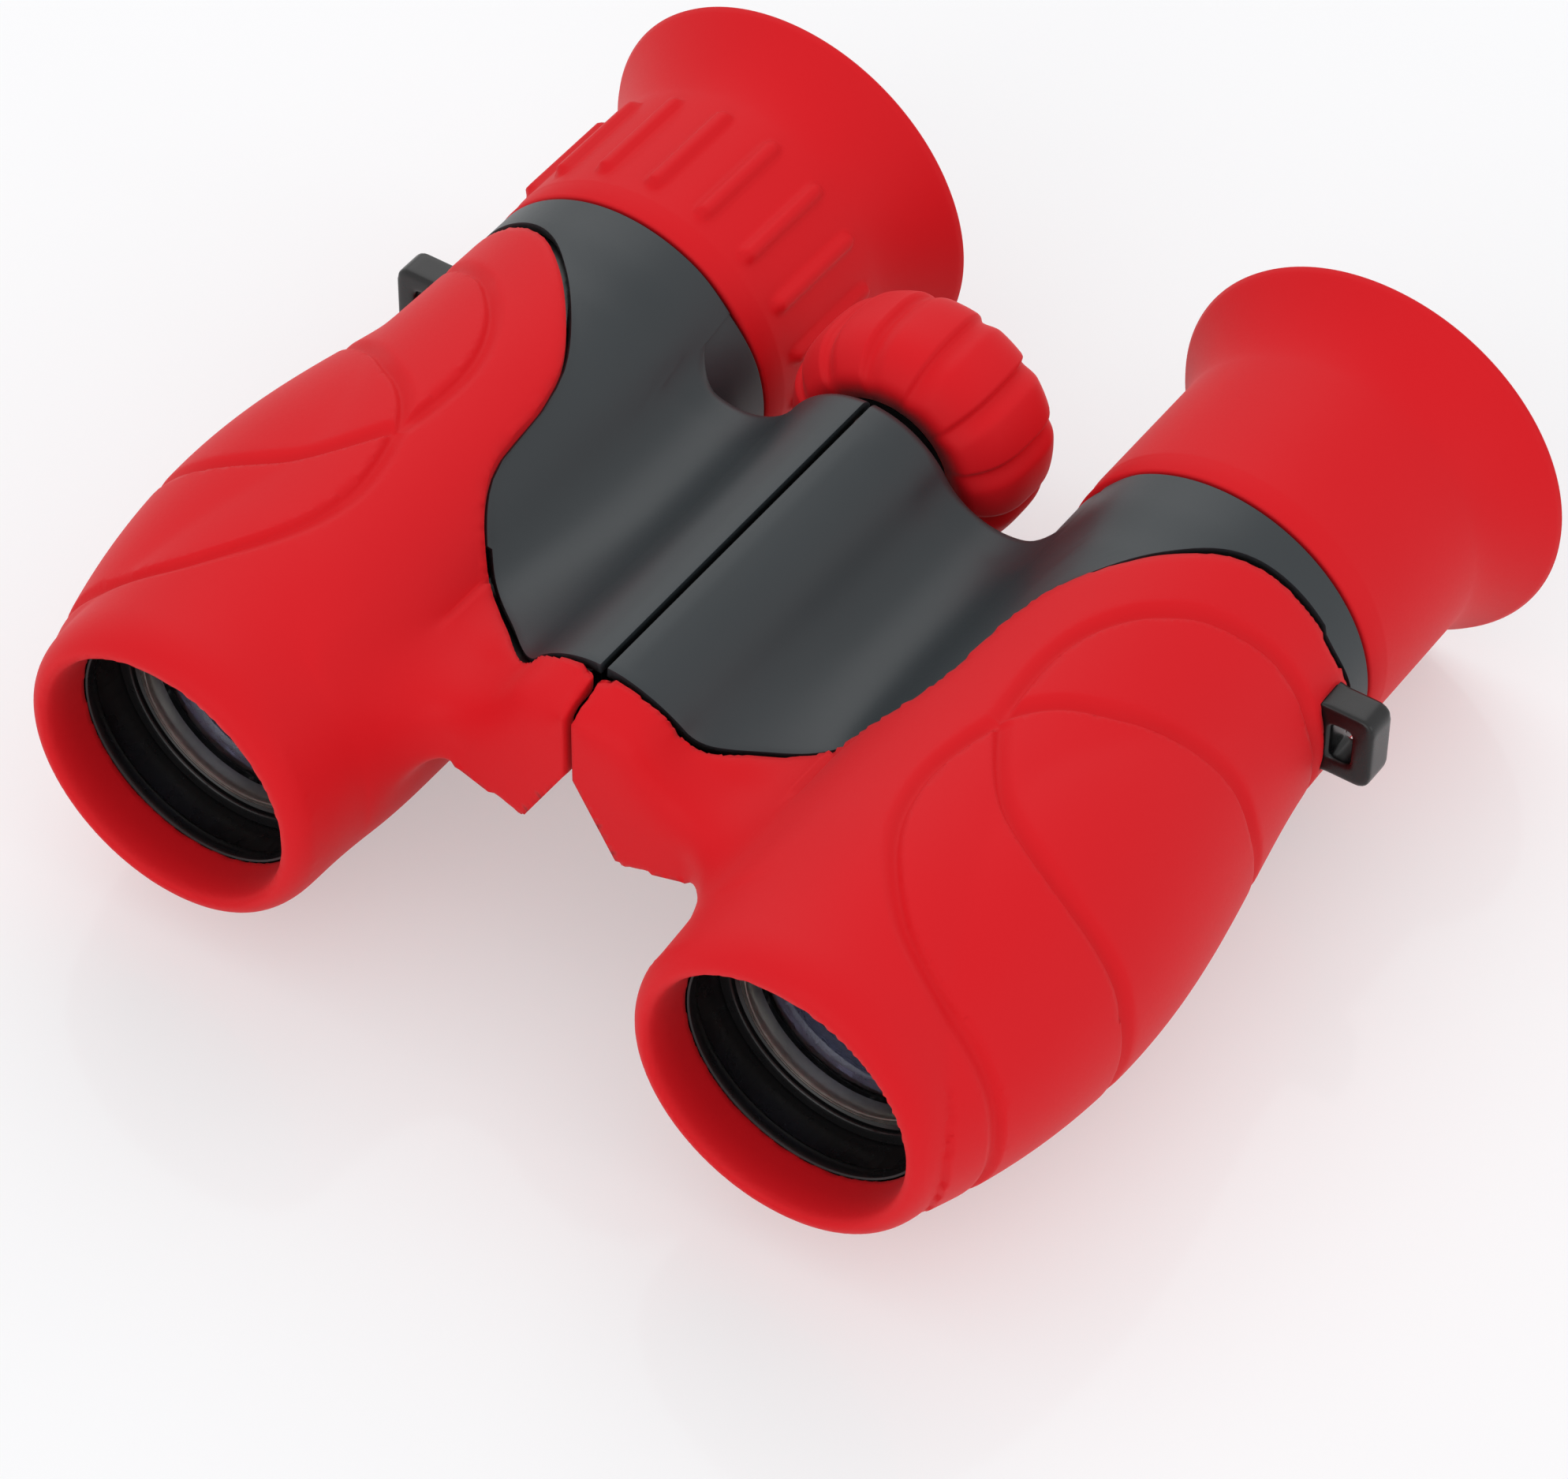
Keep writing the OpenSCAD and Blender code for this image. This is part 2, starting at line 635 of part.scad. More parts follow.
// Wheel: a core that runs on the spigot, a rubber tyre over it and a cap with the rod's thread
crown_half = 8.05;
crown_power = 2.87;
function crown_r(d) = wheel_r * pow(1 - pow(abs(d) / crown_half, crown_power), 1 / crown_power);
core_r = 0.547 * wheel_r;
cap_r = core_r - 1;
cap_floor = wheel_end - 1.2;
module focus_wheel_core() {
  color(black_plastic) place() at_hinge() difference() {
    rod(core_r, wheel_front, cap_floor);
    rod(hub_bore_r, 0, body_len);
    rod(cap_r, spigot_end - clip_t - 0.5, body_len);
  }
}
module focus_wheel_cap() {
  color(black_plastic) place() at_hinge() difference() {
    union() {
      rod(cap_r - fit_gap, spigot_end + 0.8, cap_floor);
      rod(core_r, cap_floor, wheel_end - 0.2);
    }
    rod(rod_r + run_gap, 0, rod_end + focus_travel + 0.3);
  }
}
module focus_wheel_tyre() {
  steps = 6;
  crown = [
    for (i = [-steps:steps])
      let (d = i < 0 ? i * wheel_fore / steps : i * wheel_aft / steps)
      [crown_r(d), wheel_mid + d]
  ];
  groove_r = 0.7;
  color(rubber_red) place() at_hinge() difference() {
    turned() polygon(concat(
      [[core_r + fit_gap, wheel_front]], crown, [[core_r + fit_gap, wheel_end]]));
    for (i = [0:groove_count - 1])
      rotate([0, (i + 0.5) * 360 / groove_count, 0])
        translate([0, 0, wheel_r + 0.2]) rod(groove_r, wheel_front - over, wheel_end + over);
  }
}

right_chassis();
right_cover();
right_armour();
right_strap_lug();
right_prism_cage();
right_roof_prism();
right_half_prism();
right_eyepiece_tube();
right_eyepiece_cell();
right_field_lens();
right_eye_lens();
right_eye_ring();
right_cup_sleeve();
right_eyecup();
hinge_tube();
hinge_clip();
left_chassis();
left_cover();
left_armour();
left_strap_lug();
left_prism_cage();
left_roof_prism();
left_half_prism();
left_eyepiece_tube();
left_eyepiece_cell();
left_field_lens();
left_eye_lens();
left_eye_ring();
left_dioptre_sleeve();
left_eyecup();
right_objective_cell();
right_objective_lens();
right_lens_ring();
left_objective_cell();
left_objective_lens();
left_lens_ring();
focus_rod();
rod_clip();
focus_wheel_core();
focus_wheel_tyre();
focus_wheel_cap();
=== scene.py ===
import bpy
import bmesh
import json
import math
import numpy as np
from mathutils import Matrix, Vector


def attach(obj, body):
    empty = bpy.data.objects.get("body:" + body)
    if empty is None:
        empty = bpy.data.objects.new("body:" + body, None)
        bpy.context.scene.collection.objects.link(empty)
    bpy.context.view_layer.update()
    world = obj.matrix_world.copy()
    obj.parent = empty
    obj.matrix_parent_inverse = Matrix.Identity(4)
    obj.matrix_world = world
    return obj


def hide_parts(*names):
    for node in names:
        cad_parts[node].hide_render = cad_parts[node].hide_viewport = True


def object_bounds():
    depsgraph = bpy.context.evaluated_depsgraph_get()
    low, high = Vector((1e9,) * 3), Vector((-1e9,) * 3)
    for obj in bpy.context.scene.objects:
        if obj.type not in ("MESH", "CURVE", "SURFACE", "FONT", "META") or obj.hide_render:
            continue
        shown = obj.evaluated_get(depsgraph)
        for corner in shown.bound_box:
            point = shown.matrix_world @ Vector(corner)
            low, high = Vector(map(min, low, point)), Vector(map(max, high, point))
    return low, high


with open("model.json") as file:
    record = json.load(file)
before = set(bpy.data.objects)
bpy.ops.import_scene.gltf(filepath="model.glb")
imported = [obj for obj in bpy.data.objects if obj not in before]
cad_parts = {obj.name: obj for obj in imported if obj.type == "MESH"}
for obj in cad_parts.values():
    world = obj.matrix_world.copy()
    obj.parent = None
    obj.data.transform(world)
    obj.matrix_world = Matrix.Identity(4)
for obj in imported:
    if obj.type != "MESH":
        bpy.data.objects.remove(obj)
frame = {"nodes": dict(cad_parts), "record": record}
cad_box = [list(corner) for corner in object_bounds()]
nodes = frame["nodes"]
scene = bpy.context.scene
scene.view_settings.view_transform = "Standard"

# Camera: stands to the right of the objective ends and looks down on the hinge.
# Its angles, place and focal length come from a camera fitted to the photograph.
MM = 0.001
SENSOR_WIDTH, PHOTO_WIDTH, FOCAL_PIXELS = 36, 1988, 8248.5
CAMERA_PLACE = (243.266, -360.575, 445.161)
azimuth, elevation, roll = (math.radians(a) for a in (33.98, 45.42, 0.607))
to_camera = Vector((
    math.sin(azimuth) * math.cos(elevation),
    -math.cos(azimuth) * math.cos(elevation),
    math.sin(elevation)))
to_right = Vector((math.cos(azimuth), math.sin(azimuth), 0))
turn = Matrix((to_right, to_camera.cross(to_right), to_camera)).transposed()
turn = Matrix.Rotation(roll, 3, to_camera) @ turn
camera = bpy.data.objects.new("camera", bpy.data.cameras.new("camera"))
camera.data.sensor_width = SENSOR_WIDTH
camera.data.lens = SENSOR_WIDTH * FOCAL_PIXELS / PHOTO_WIDTH
camera.data.clip_start = 0.01
camera.matrix_world = Matrix.Translation(Vector(CAMERA_PLACE) * MM) @ turn.to_4x4()
scene.collection.objects.link(camera)
scene.camera = camera


# Studio: a painted white board in even light from all sides, with a soft box behind, a fill in front
# and a weak strip on the right. The board stands just below the object and has a faint sheen.
def linear(code):
    parts = [int(code[i:i + 2], 16) / 255 for i in (1, 3, 5)]
    return [p / 12.92 if p < 0.04045 else ((p + 0.055) / 1.055) ** 2.4 for p in parts] + [1]


def add(tree, kind, settings=None, **links):
    # a setting or link called i0, i1, ... goes to the input of that number
    node = tree.nodes.new(kind)
    for name, value in (settings or {}).items():
        if name == "stops":
            for stop, code in zip(node.color_ramp.elements, value):
                stop.color = linear(code)
        elif name[1:].isdigit():
            node.inputs[int(name[1:])].default_value = value
        elif hasattr(node, name):
            setattr(node, name, value)
        else:
            node.inputs[name].default_value = value
    for name, source in links.items():
        socket = int(name[1:]) if name[1:].isdigit() else name.replace("_", " ")
        tree.links.new(source, node.inputs[socket])
    return node


def new_material(name):
    material = bpy.data.materials.new(name)
    material.use_nodes = True
    material.node_tree.nodes.clear()
    return material, material.node_tree


def seen_rays(tree):
    # 1 for a ray that comes from the eye, straight, through glass or by a mirror, and 0 for other light
    rays = add(tree, "ShaderNodeLightPath")
    seen = add(tree, "ShaderNodeMath", {"operation": "MAXIMUM"},
               i0=rays.outputs["Is Camera Ray"], i1=rays.outputs["Is Transmission Ray"])
    seen = add(tree, "ShaderNodeMath", {"operation": "MAXIMUM"},
               i0=seen.outputs[0], i1=rays.outputs["Is Glossy Ray"])
    return seen.outputs[0]


BOARD_LIFT, BOARD_GAP, BOARD_HALF = 0.4, 0.0002, 4
board, tree = new_material("white_board")
# satin paint on board: almost even, with a very faint mottle and soft mirror images
place = add(tree, "ShaderNodeTexCoord").outputs["Object"]
mottle = add(tree, "ShaderNodeTexNoise", {"Scale": 1 / (60 * MM), "Detail": 2.0}, Vector=place)
shade = add(tree, "ShaderNodeValToRGB", {"stops": ("#fafafa", "#fdfdfd")}, Fac=mottle.outputs["Fac"])
paint = add(tree, "ShaderNodeBsdfPrincipled", {"Roughness": 0.08, "Specular IOR Level": 0.2},
            Base_Color=shade.outputs[0])
# where it is seen, the board is lifted towards white; the shadow stays on it
part = add(tree, "ShaderNodeMath", {"operation": "MULTIPLY", "i1": BOARD_LIFT}, i0=seen_rays(tree))
white = add(tree, "ShaderNodeEmission", {"Color": (1, 1, 1, 1), "Strength": 1.0})
lifted = add(tree, "ShaderNodeMixShader", None,
             i0=part.outputs[0], i1=paint.outputs[0], i2=white.outputs[0])
add(tree, "ShaderNodeOutputMaterial", Surface=lifted.outputs[0])

floor_bm = bmesh.new()
bmesh.ops.create_grid(floor_bm, x_segments=1, y_segments=1, size=BOARD_HALF)
floor_mesh = bpy.data.meshes.new("floor")
floor_bm.to_mesh(floor_mesh)
floor_bm.free()
floor_mesh.transform(Matrix.Translation((0, 0, cad_box[0][2] - BOARD_GAP)))
floor_mesh.materials.append(board)
floor = bpy.data.objects.new("floor", floor_mesh)
scene.collection.objects.link(floor)

world = bpy.data.worlds.new("studio")
scene.world = world
world.use_nodes = True
tree = world.node_tree
tree.nodes.clear()
seen = seen_rays(tree)
ambient = add(tree, "ShaderNodeBackground", {"Color": linear("#f6f7fa"), "Strength": 0.84})
white = add(tree, "ShaderNodeBackground", {"Color": (1, 1, 1, 1), "Strength": 1.0})
sky = add(tree, "ShaderNodeMixShader", None, i0=seen, i1=ambient.outputs[0], i2=white.outputs[0])
add(tree, "ShaderNodeOutputWorld", Surface=sky.outputs[0])

for name, spot, aim, size, watts in (
        ("back_softbox", (-0.42, 0.62, 0.76), (0, 0, 0.02), 0.8, 1.7),
        ("front_fill", (0.1, -0.9, 0.45), (0, 0, 0.02), 0.8, 2.0),
        ("right_strip", (0.75, 0.1, 0.35), (0.03, 0.02, 0.02), 0.4, 0.5)):
    lamp = bpy.data.lights.new(name, "AREA")
    lamp.size = size
    lamp.energy = watts
    holder = bpy.data.objects.new(name, lamp)
    toward = (Vector(aim) - Vector(spot)).to_track_quat("-Z", "Y")
    holder.matrix_world = Matrix.Translation(spot) @ toward.to_matrix().to_4x4()
    scene.collection.objects.link(holder)

# Chassis: the barrel tube, web and hinge knuckles of each half, one black moulding of glass-filled plastic.
# Its tube ends in a polished bead behind the red lip; the bead is spun and joined to the solid.
# Lengths here and below are millimetres, and distances along a barrel start at the front lip.
BARREL_X, BARREL_Z, FRONT_Y = 33.8, 20.9, -50.8
polished_black, tree = new_material("polished_black_plastic")
# a polished tool leaves a slight shine, a little duller in patches a few millimetres across
place = add(tree, "ShaderNodeTexCoord").outputs["Object"]
patches = add(tree, "ShaderNodeTexNoise", {"Scale": 1 / (2.5 * MM), "Detail": 3.0}, Vector=place)
tone = add(tree, "ShaderNodeValToRGB", {"stops": ("#0d0d0e", "#141415")}, Fac=patches.outputs["Fac"])
rough = add(tree, "ShaderNodeMapRange", {"To Min": 0.22, "To Max": 0.34}, Value=patches.outputs["Fac"])
plastic = add(tree, "ShaderNodeBsdfPrincipled", {"IOR": 1.5, "Specular IOR Level": 0.4},
              Base_Color=tone.outputs[0], Roughness=rough.outputs[0])
add(tree, "ShaderNodeOutputMaterial", Surface=plastic.outputs[0])


def show(name, mesh, material, body, slot, *replaced):
    mesh.materials.clear()
    mesh.materials.append(material)
    mesh.shade_smooth()
    piece = bpy.data.objects.new(name, mesh)
    scene.collection.objects.link(piece)
    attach(piece, body)
    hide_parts(*replaced)


SPUN_WELD, SOLID_WELD = 0.0005, 0.002
SHARP = math.radians(32)


def spun(profile, steps, centre_x, centre_z):
    # closed profile of (radius, distance from the front lip), turned about an axis along the barrels
    work = bmesh.new()
    ring = [work.verts.new((r * MM, (FRONT_Y + y) * MM, 0)) for r, y in profile]
    edges = [work.edges.new(pair) for pair in zip(ring, ring[1:] + ring[:1])]
    bmesh.ops.spin(work, geom=ring + edges, cent=(0, 0, 0), axis=(0, 1, 0), angle=2 * math.pi,
                   steps=steps, use_merge=True)
    bmesh.ops.remove_doubles(work, verts=work.verts, dist=SPUN_WELD * MM)
    bmesh.ops.recalc_face_normals(work, faces=work.faces)
    mesh = bpy.data.meshes.new("spun")
    work.to_mesh(mesh)
    work.free()
    mesh.transform(Matrix.Translation((centre_x * MM, 0, centre_z * MM)))
    return mesh


def moulded(name, node, material, body, slot, *turnings):
    # the CAD solid with spun details added
    work = bmesh.new()
    work.from_mesh(nodes[node].data)
    bmesh.ops.remove_doubles(work, verts=work.verts, dist=SOLID_WELD * MM)
    for extra in turnings:
        work.from_mesh(extra)
    mesh = bpy.data.meshes.new(name)
    work.to_mesh(mesh)
    work.free()
    show(name, mesh, material, body, slot, node)
    mesh.set_sharp_from_angle(angle=SHARP)


BEAD_FRONT, BEAD_R, BEAD_BORE, BEAD_STEPS = 5.3, 13.04, 12.6, 180
bead = [(BEAD_R, BEAD_FRONT + 0.2), (12.93, BEAD_FRONT + 0.03), (12.75, BEAD_FRONT + 0.12),
        (BEAD_BORE, BEAD_FRONT + 0.45), (12.62, BEAD_FRONT + 0.9), (12.8, BEAD_FRONT + 1.4),
        (BEAD_R, BEAD_FRONT + 1.7)]
barrels = (("right", BARREL_X), ("left", -BARREL_X))
for side, centre in barrels:
    moulded(side + "_chassis_frame", side + "_chassis", polished_black, side + "_half", "black_plastic",
            spun(bead, BEAD_STEPS, centre, BARREL_Z))

# Objectives: in each mouth a black plastic cell, with a soft lip and with ribs inside against stray light.
# A turned aluminium ring holds the lens in it, and the cell slides in the chassis to focus.
ring_metal, tree = new_material("black_washed_aluminium")
# the lathe leaves fine lines, drawn coarser than life, and the thin wash a pale warm grey
place = add(tree, "ShaderNodeTexCoord").outputs["Object"]
lines = add(tree, "ShaderNodeTexNoise", {"Scale": 1 / (0.6 * MM), "Detail": 2.0}, Vector=place)
tone = add(tree, "ShaderNodeValToRGB", {"stops": ("#a3a29d", "#b5b4af")}, Fac=lines.outputs["Fac"])
rough = add(tree, "ShaderNodeMapRange", {"To Min": 0.28, "To Max": 0.4}, Value=lines.outputs["Fac"])
metal = add(tree, "ShaderNodeBsdfPrincipled", {"Metallic": 1.0},
            Base_Color=tone.outputs[0], Roughness=rough.outputs[0])
add(tree, "ShaderNodeOutputMaterial", Surface=metal.outputs[0])

CELL_FRONT, CELL_STEP, CELL_R, CELL_BORE, CELL_STEPS = 10.55, 11.15, 13.1, 11.96, 180
cell_lip = [(CELL_R, CELL_FRONT), (12.3, CELL_FRONT), (12.05, 10.62), (CELL_BORE, 10.8),
            (CELL_BORE, CELL_STEP), (CELL_R, CELL_STEP)]
BAFFLE_FRONT, BAFFLE_END, BAFFLE_R, BAFFLE_STEPS = 18.7, 25.9, 11.9, 120
RIBS, RIB_BORE, RIB_TAPER, END_BORE = 9, 10.2, 0.2, 8.4
baffle = [(BAFFLE_R, BAFFLE_END), (BAFFLE_R, BAFFLE_FRONT)]
for i in range(RIBS):
    y = BAFFLE_FRONT + (BAFFLE_END - BAFFLE_FRONT) * i / RIBS
    r = RIB_BORE - RIB_TAPER * i
    baffle += [(r, y), (r - 0.08, y + 0.2), (r + 0.45, y + 0.6)]
baffle.append((END_BORE, BAFFLE_END))
# two fine grooves run round the ring's face
RING_FRONT, RING_GROOVE, RING_END, RING_R, RING_BORE, RING_STEPS = 10.95, 11.08, 12.7, 11.38, 10.46, 160
ring = [(RING_R, RING_END), (RING_R, 11.1), (11.25, RING_FRONT), (11.1, RING_FRONT), (11.04, RING_GROOVE),
        (10.98, RING_FRONT), (10.84, RING_FRONT), (10.78, RING_GROOVE), (10.72, RING_FRONT), (10.6, 10.98),
        (10.5, 11.2), (RING_BORE, 11.7), (RING_BORE, RING_END)]
for side, centre in barrels:
    moulded(side + "_ribbed_cell", side + "_objective_cell", polished_black, side + "_objective",
            "black_plastic", spun(cell_lip, CELL_STEPS, centre, BARREL_Z),
            spun(baffle, BAFFLE_STEPS, centre, BARREL_Z))
    turned_ring = spun(ring, RING_STEPS, centre, BARREL_Z)
    show(side + "_turned_ring", turned_ring, ring_metal, side + "_objective", "ring_metal",
         side + "_lens_ring")
    turned_ring.set_sharp_from_angle(angle=SHARP)

# Inner pieces, shown as their solids: prism cages, eyepieces, sleeves and wheel core of black plastic,
# lenses and prisms of glass, hinge tube, rod and clips of steel. They are pressed, glued or clipped in.
matt_black, tree = new_material("matt_black_plastic")
# glass-filled plastic, matt from the tool: a fine grain, drawn coarse enough to show, breaks up the shine
place = add(tree, "ShaderNodeTexCoord").outputs["Object"]
grain = add(tree, "ShaderNodeTexNoise", {"Scale": 1 / (0.4 * MM), "Detail": 3.0}, Vector=place)
tone = add(tree, "ShaderNodeValToRGB", {"stops": ("#0b0b0c", "#151516")}, Fac=grain.outputs["Fac"])
rough = add(tree, "ShaderNodeMapRange", {"To Min": 0.28, "To Max": 0.45}, Value=grain.outputs["Fac"])
bump = add(tree, "ShaderNodeBump", {"Strength": 0.1, "Distance": 0.05 * MM}, Height=grain.outputs["Fac"])
plastic = add(tree, "ShaderNodeBsdfPrincipled", {"IOR": 1.52},
              Base_Color=tone.outputs[0], Roughness=rough.outputs[0], Normal=bump.outputs[0])
add(tree, "ShaderNodeOutputMaterial", Surface=plastic.outputs[0])

coated, tree = new_material("coated_lens_glass")
# polished glass, nearly neutral, with a thin coating that tints its mirror images blue-violet
place = add(tree, "ShaderNodeTexCoord").outputs["Object"]
cloud = add(tree, "ShaderNodeTexNoise", {"Scale": 1 / (14 * MM), "Detail": 1.0}, Vector=place)
tint = add(tree, "ShaderNodeValToRGB", {"stops": ("#eef0f4", "#f4f2f6")}, Fac=cloud.outputs["Fac"])
glass = add(tree, "ShaderNodeBsdfPrincipled",
            {"Roughness": 0.02, "IOR": 1.52, "Transmission Weight": 1.0, "Specular Tint": linear("#c4c8ff")},
            Base_Color=tint.outputs[0])
add(tree, "ShaderNodeOutputMaterial", Surface=glass.outputs[0])

turned_metal, tree = new_material("turned_metal")
# bright steel from the lathe: small changes of tone and shine from its tool marks
place = add(tree, "ShaderNodeTexCoord").outputs["Object"]
lines = add(tree, "ShaderNodeTexNoise", {"Scale": 1 / (0.5 * MM), "Detail": 2.0}, Vector=place)
tone = add(tree, "ShaderNodeValToRGB", {"stops": ("#8f9091", "#a7a8a8")}, Fac=lines.outputs["Fac"])
rough = add(tree, "ShaderNodeMapRange", {"To Min": 0.25, "To Max": 0.4}, Value=lines.outputs["Fac"])
metal = add(tree, "ShaderNodeBsdfPrincipled", {"Metallic": 1.0},
            Base_Color=tone.outputs[0], Roughness=rough.outputs[0])
add(tree, "ShaderNodeOutputMaterial", Surface=metal.outputs[0])

inner_finish = {"black_plastic": matt_black, "lens_glass": coated, "prism_glass": coated,
                "bright_steel": turned_metal}
for part in frame["record"]["subparts"]:
    if part["material_slot"] in inner_finish:
        shown = nodes[part["node"]]
        shown.data.materials.clear()
        shown.data.materials.append(inner_finish[part["material_slot"]])

# Bridge cover: a satin blue-grey moulding on each half, from the hub over the valley to the barrel,
# with the collar behind the armour. It is one sheet of ABS that snaps onto the chassis.
satin, tree = new_material("satin_abs_blue_grey")
# moulded ABS: a fine matt texture spreads the highlights, and slow tone changes keep it from looking flat
place = add(tree, "ShaderNodeTexCoord").outputs["Object"]
grain = add(tree, "ShaderNodeTexNoise", {"Scale": 1 / (0.3 * MM), "Detail": 2.0}, Vector=place)
cloud = add(tree, "ShaderNodeTexNoise", {"Scale": 1 / (18 * MM), "Detail": 2.0}, Vector=place)
tone = add(tree, "ShaderNodeValToRGB", {"stops": ("#262c2f", "#2d3336")}, Fac=cloud.outputs["Fac"])
rough = add(tree, "ShaderNodeMapRange", {"To Min": 0.38, "To Max": 0.46}, Value=grain.outputs["Fac"])
bump = add(tree, "ShaderNodeBump", {"Strength": 0.08, "Distance": 0.04 * MM}, Height=grain.outputs["Fac"])
plastic = add(tree, "ShaderNodeBsdfPrincipled", {"IOR": 1.5, "Specular IOR Level": 0.4},
              Base_Color=tone.outputs[0], Roughness=rough.outputs[0], Normal=bump.outputs[0])
add(tree, "ShaderNodeOutputMaterial", Surface=plastic.outputs[0])

# its outline in plan, across and along; a smooth curve runs through the knots
COVER_FRONT, SEAM, ARMOUR_END, CURVE_STEPS = 21.1, 0.6, 69.4, 16
knots = np.array([(-3, COVER_FRONT), (0, COVER_FRONT), (7.5, COVER_FRONT + 1), (13.9, 27.4), (19.9, 32.5),
                  (24, 39.1), (25.2, 49.1), (27.5, 55.6), (33.6, 63.2), (40.8, 68), (52.9, ARMOUR_END),
                  (59.8, ARMOUR_END)])
outline = []
for before, a, b, after in zip(knots[:-3], knots[1:-2], knots[2:-1], knots[3:]):
    for t in np.linspace(0, 1, CURVE_STEPS, endpoint=False):
        outline.append(0.5 * (2 * a + (b - before) * t + (2 * before - 5 * a + 4 * b - after) * t * t
                              + (3 * a - before - 3 * b + after) * t ** 3))
outline = np.array(outline)


def eased(t):
    return (1 - np.cos(np.pi * np.clip(t, 0, 1))) / 2


def rising(value, start, over):
    # a soft step from 0 to 1
    return eased((value - start) / over)


LIFT, LIFT_TOP, EAR_LIFT, SEAM_SHIFT, TOP_SEAM, LUG_SEAM = 1.6, 12.5, 0.2, 1.1, 68.45, 0.95


def valley_lift(x, along):
    # the valley rises towards the seam in front and falls again before the ear's front edge
    across = np.where(x < LIFT_TOP, rising(x, start=5, over=7.5), 1 - rising(x, LIFT_TOP, over=9))
    in_ear = EAR_LIFT + (1 - EAR_LIFT) * rising(along, start=19, over=7)
    return LIFT * across * in_ear * (1 - rising(along, start=27, over=22))


def seam_back(x):
    # at the hub the seam lies further back than the solid's
    return SEAM_SHIFT * (1 - rising(x, start=5, over=8))


def rear_end(turned):
    # where the armour ends, by degrees round the barrel: it reaches a little further back at the lug
    return TOP_SEAM + LUG_SEAM * (1 - rising(turned, start=8, over=24))


def mirrored(mesh):
    twin = mesh.copy()
    twin.transform(Matrix.Scale(-1, 4, (1, 0, 0)))
    twin.flip_normals()
    return twin


# the sheet is a grid of small squares: its section runs from the split over the hub and the valley,
# then right round the barrel as the collar, and each column of the grid runs from front to rear
HUB_Z, HUB_R, VALLEY_X, VALLEY_Z, VALLEY_R, BARREL_R, SPLIT = 6.4, 10.2, 15.0, 15.4, 7.3, 17.0, 0.8
SINK, COVER_T, WEB_REAR, COLLAR_R, COLLAR_FRONT, COVER_END = 0.7, 1.1, 65.6, 16.6, 70.0, 72.6
HUB_STEPS, VALLEY_STEPS, COLLAR_STEPS = 18, 30, 150
hub_top, valley_floor = HUB_R - SINK, VALLEY_R + SINK
hub_angle = math.atan2(VALLEY_Z - HUB_Z, VALLEY_X)
barrel_angle = math.atan2(VALLEY_Z, VALLEY_X - BARREL_X)
OVERLAP, CLOSING, CLOSING_DROP = 0.05, 0.45, 0.45
ring_end = barrel_angle - 2 * math.pi - OVERLAP
section = []
for t in np.linspace(math.acos(SPLIT / 2 / hub_top), hub_angle, HUB_STEPS, endpoint=False):
    section.append((hub_top * math.cos(t), HUB_Z + hub_top * math.sin(t), None))
for t in np.linspace(hub_angle + math.pi, 2 * math.pi + barrel_angle - math.pi, VALLEY_STEPS, endpoint=False):
    section.append((VALLEY_X + valley_floor * math.cos(t), VALLEY_Z + valley_floor * math.sin(t), None))
for t in np.linspace(barrel_angle, ring_end, COLLAR_STEPS):
    section.append((BARREL_X + math.cos(t), math.sin(t), t))

ROWS, EDGE_ROWS, CURL, BEND, BEND_END = 54, 12, 1.6, 4.0, 21.2
# radians round the barrel: the outline ends, the lug's seam ends, the tongue under the valley starts
OUTLINE_END, LUG_END, TONGUE_START, TONGUE, TONGUE_WIDTH = 0.6, -0.5, -3.0, 5.6, 0.25
ON_BARREL_START, ON_BARREL, OUTLINE_GAP, COVER_LIFT = 18, 3.2, 0.1, 0.85
STEP_UP, STEP_START, STEP_LENGTH, STEP_WIDTH = 0.3, 63, 6, 0.35
BLEND_FIRST, BLEND_LAST, BLEND_END, BLEND_ROUNDS, RIM_ROUND = 4, 65, 61, 30, 0.3
work = bmesh.new()
bmesh.ops.create_grid(work, x_segments=len(section) - 1, y_segments=ROWS - 1, size=1)
columns = sorted(work.verts, key=lambda v: (round(v.co.x, 5), v.co.y))
blended = []
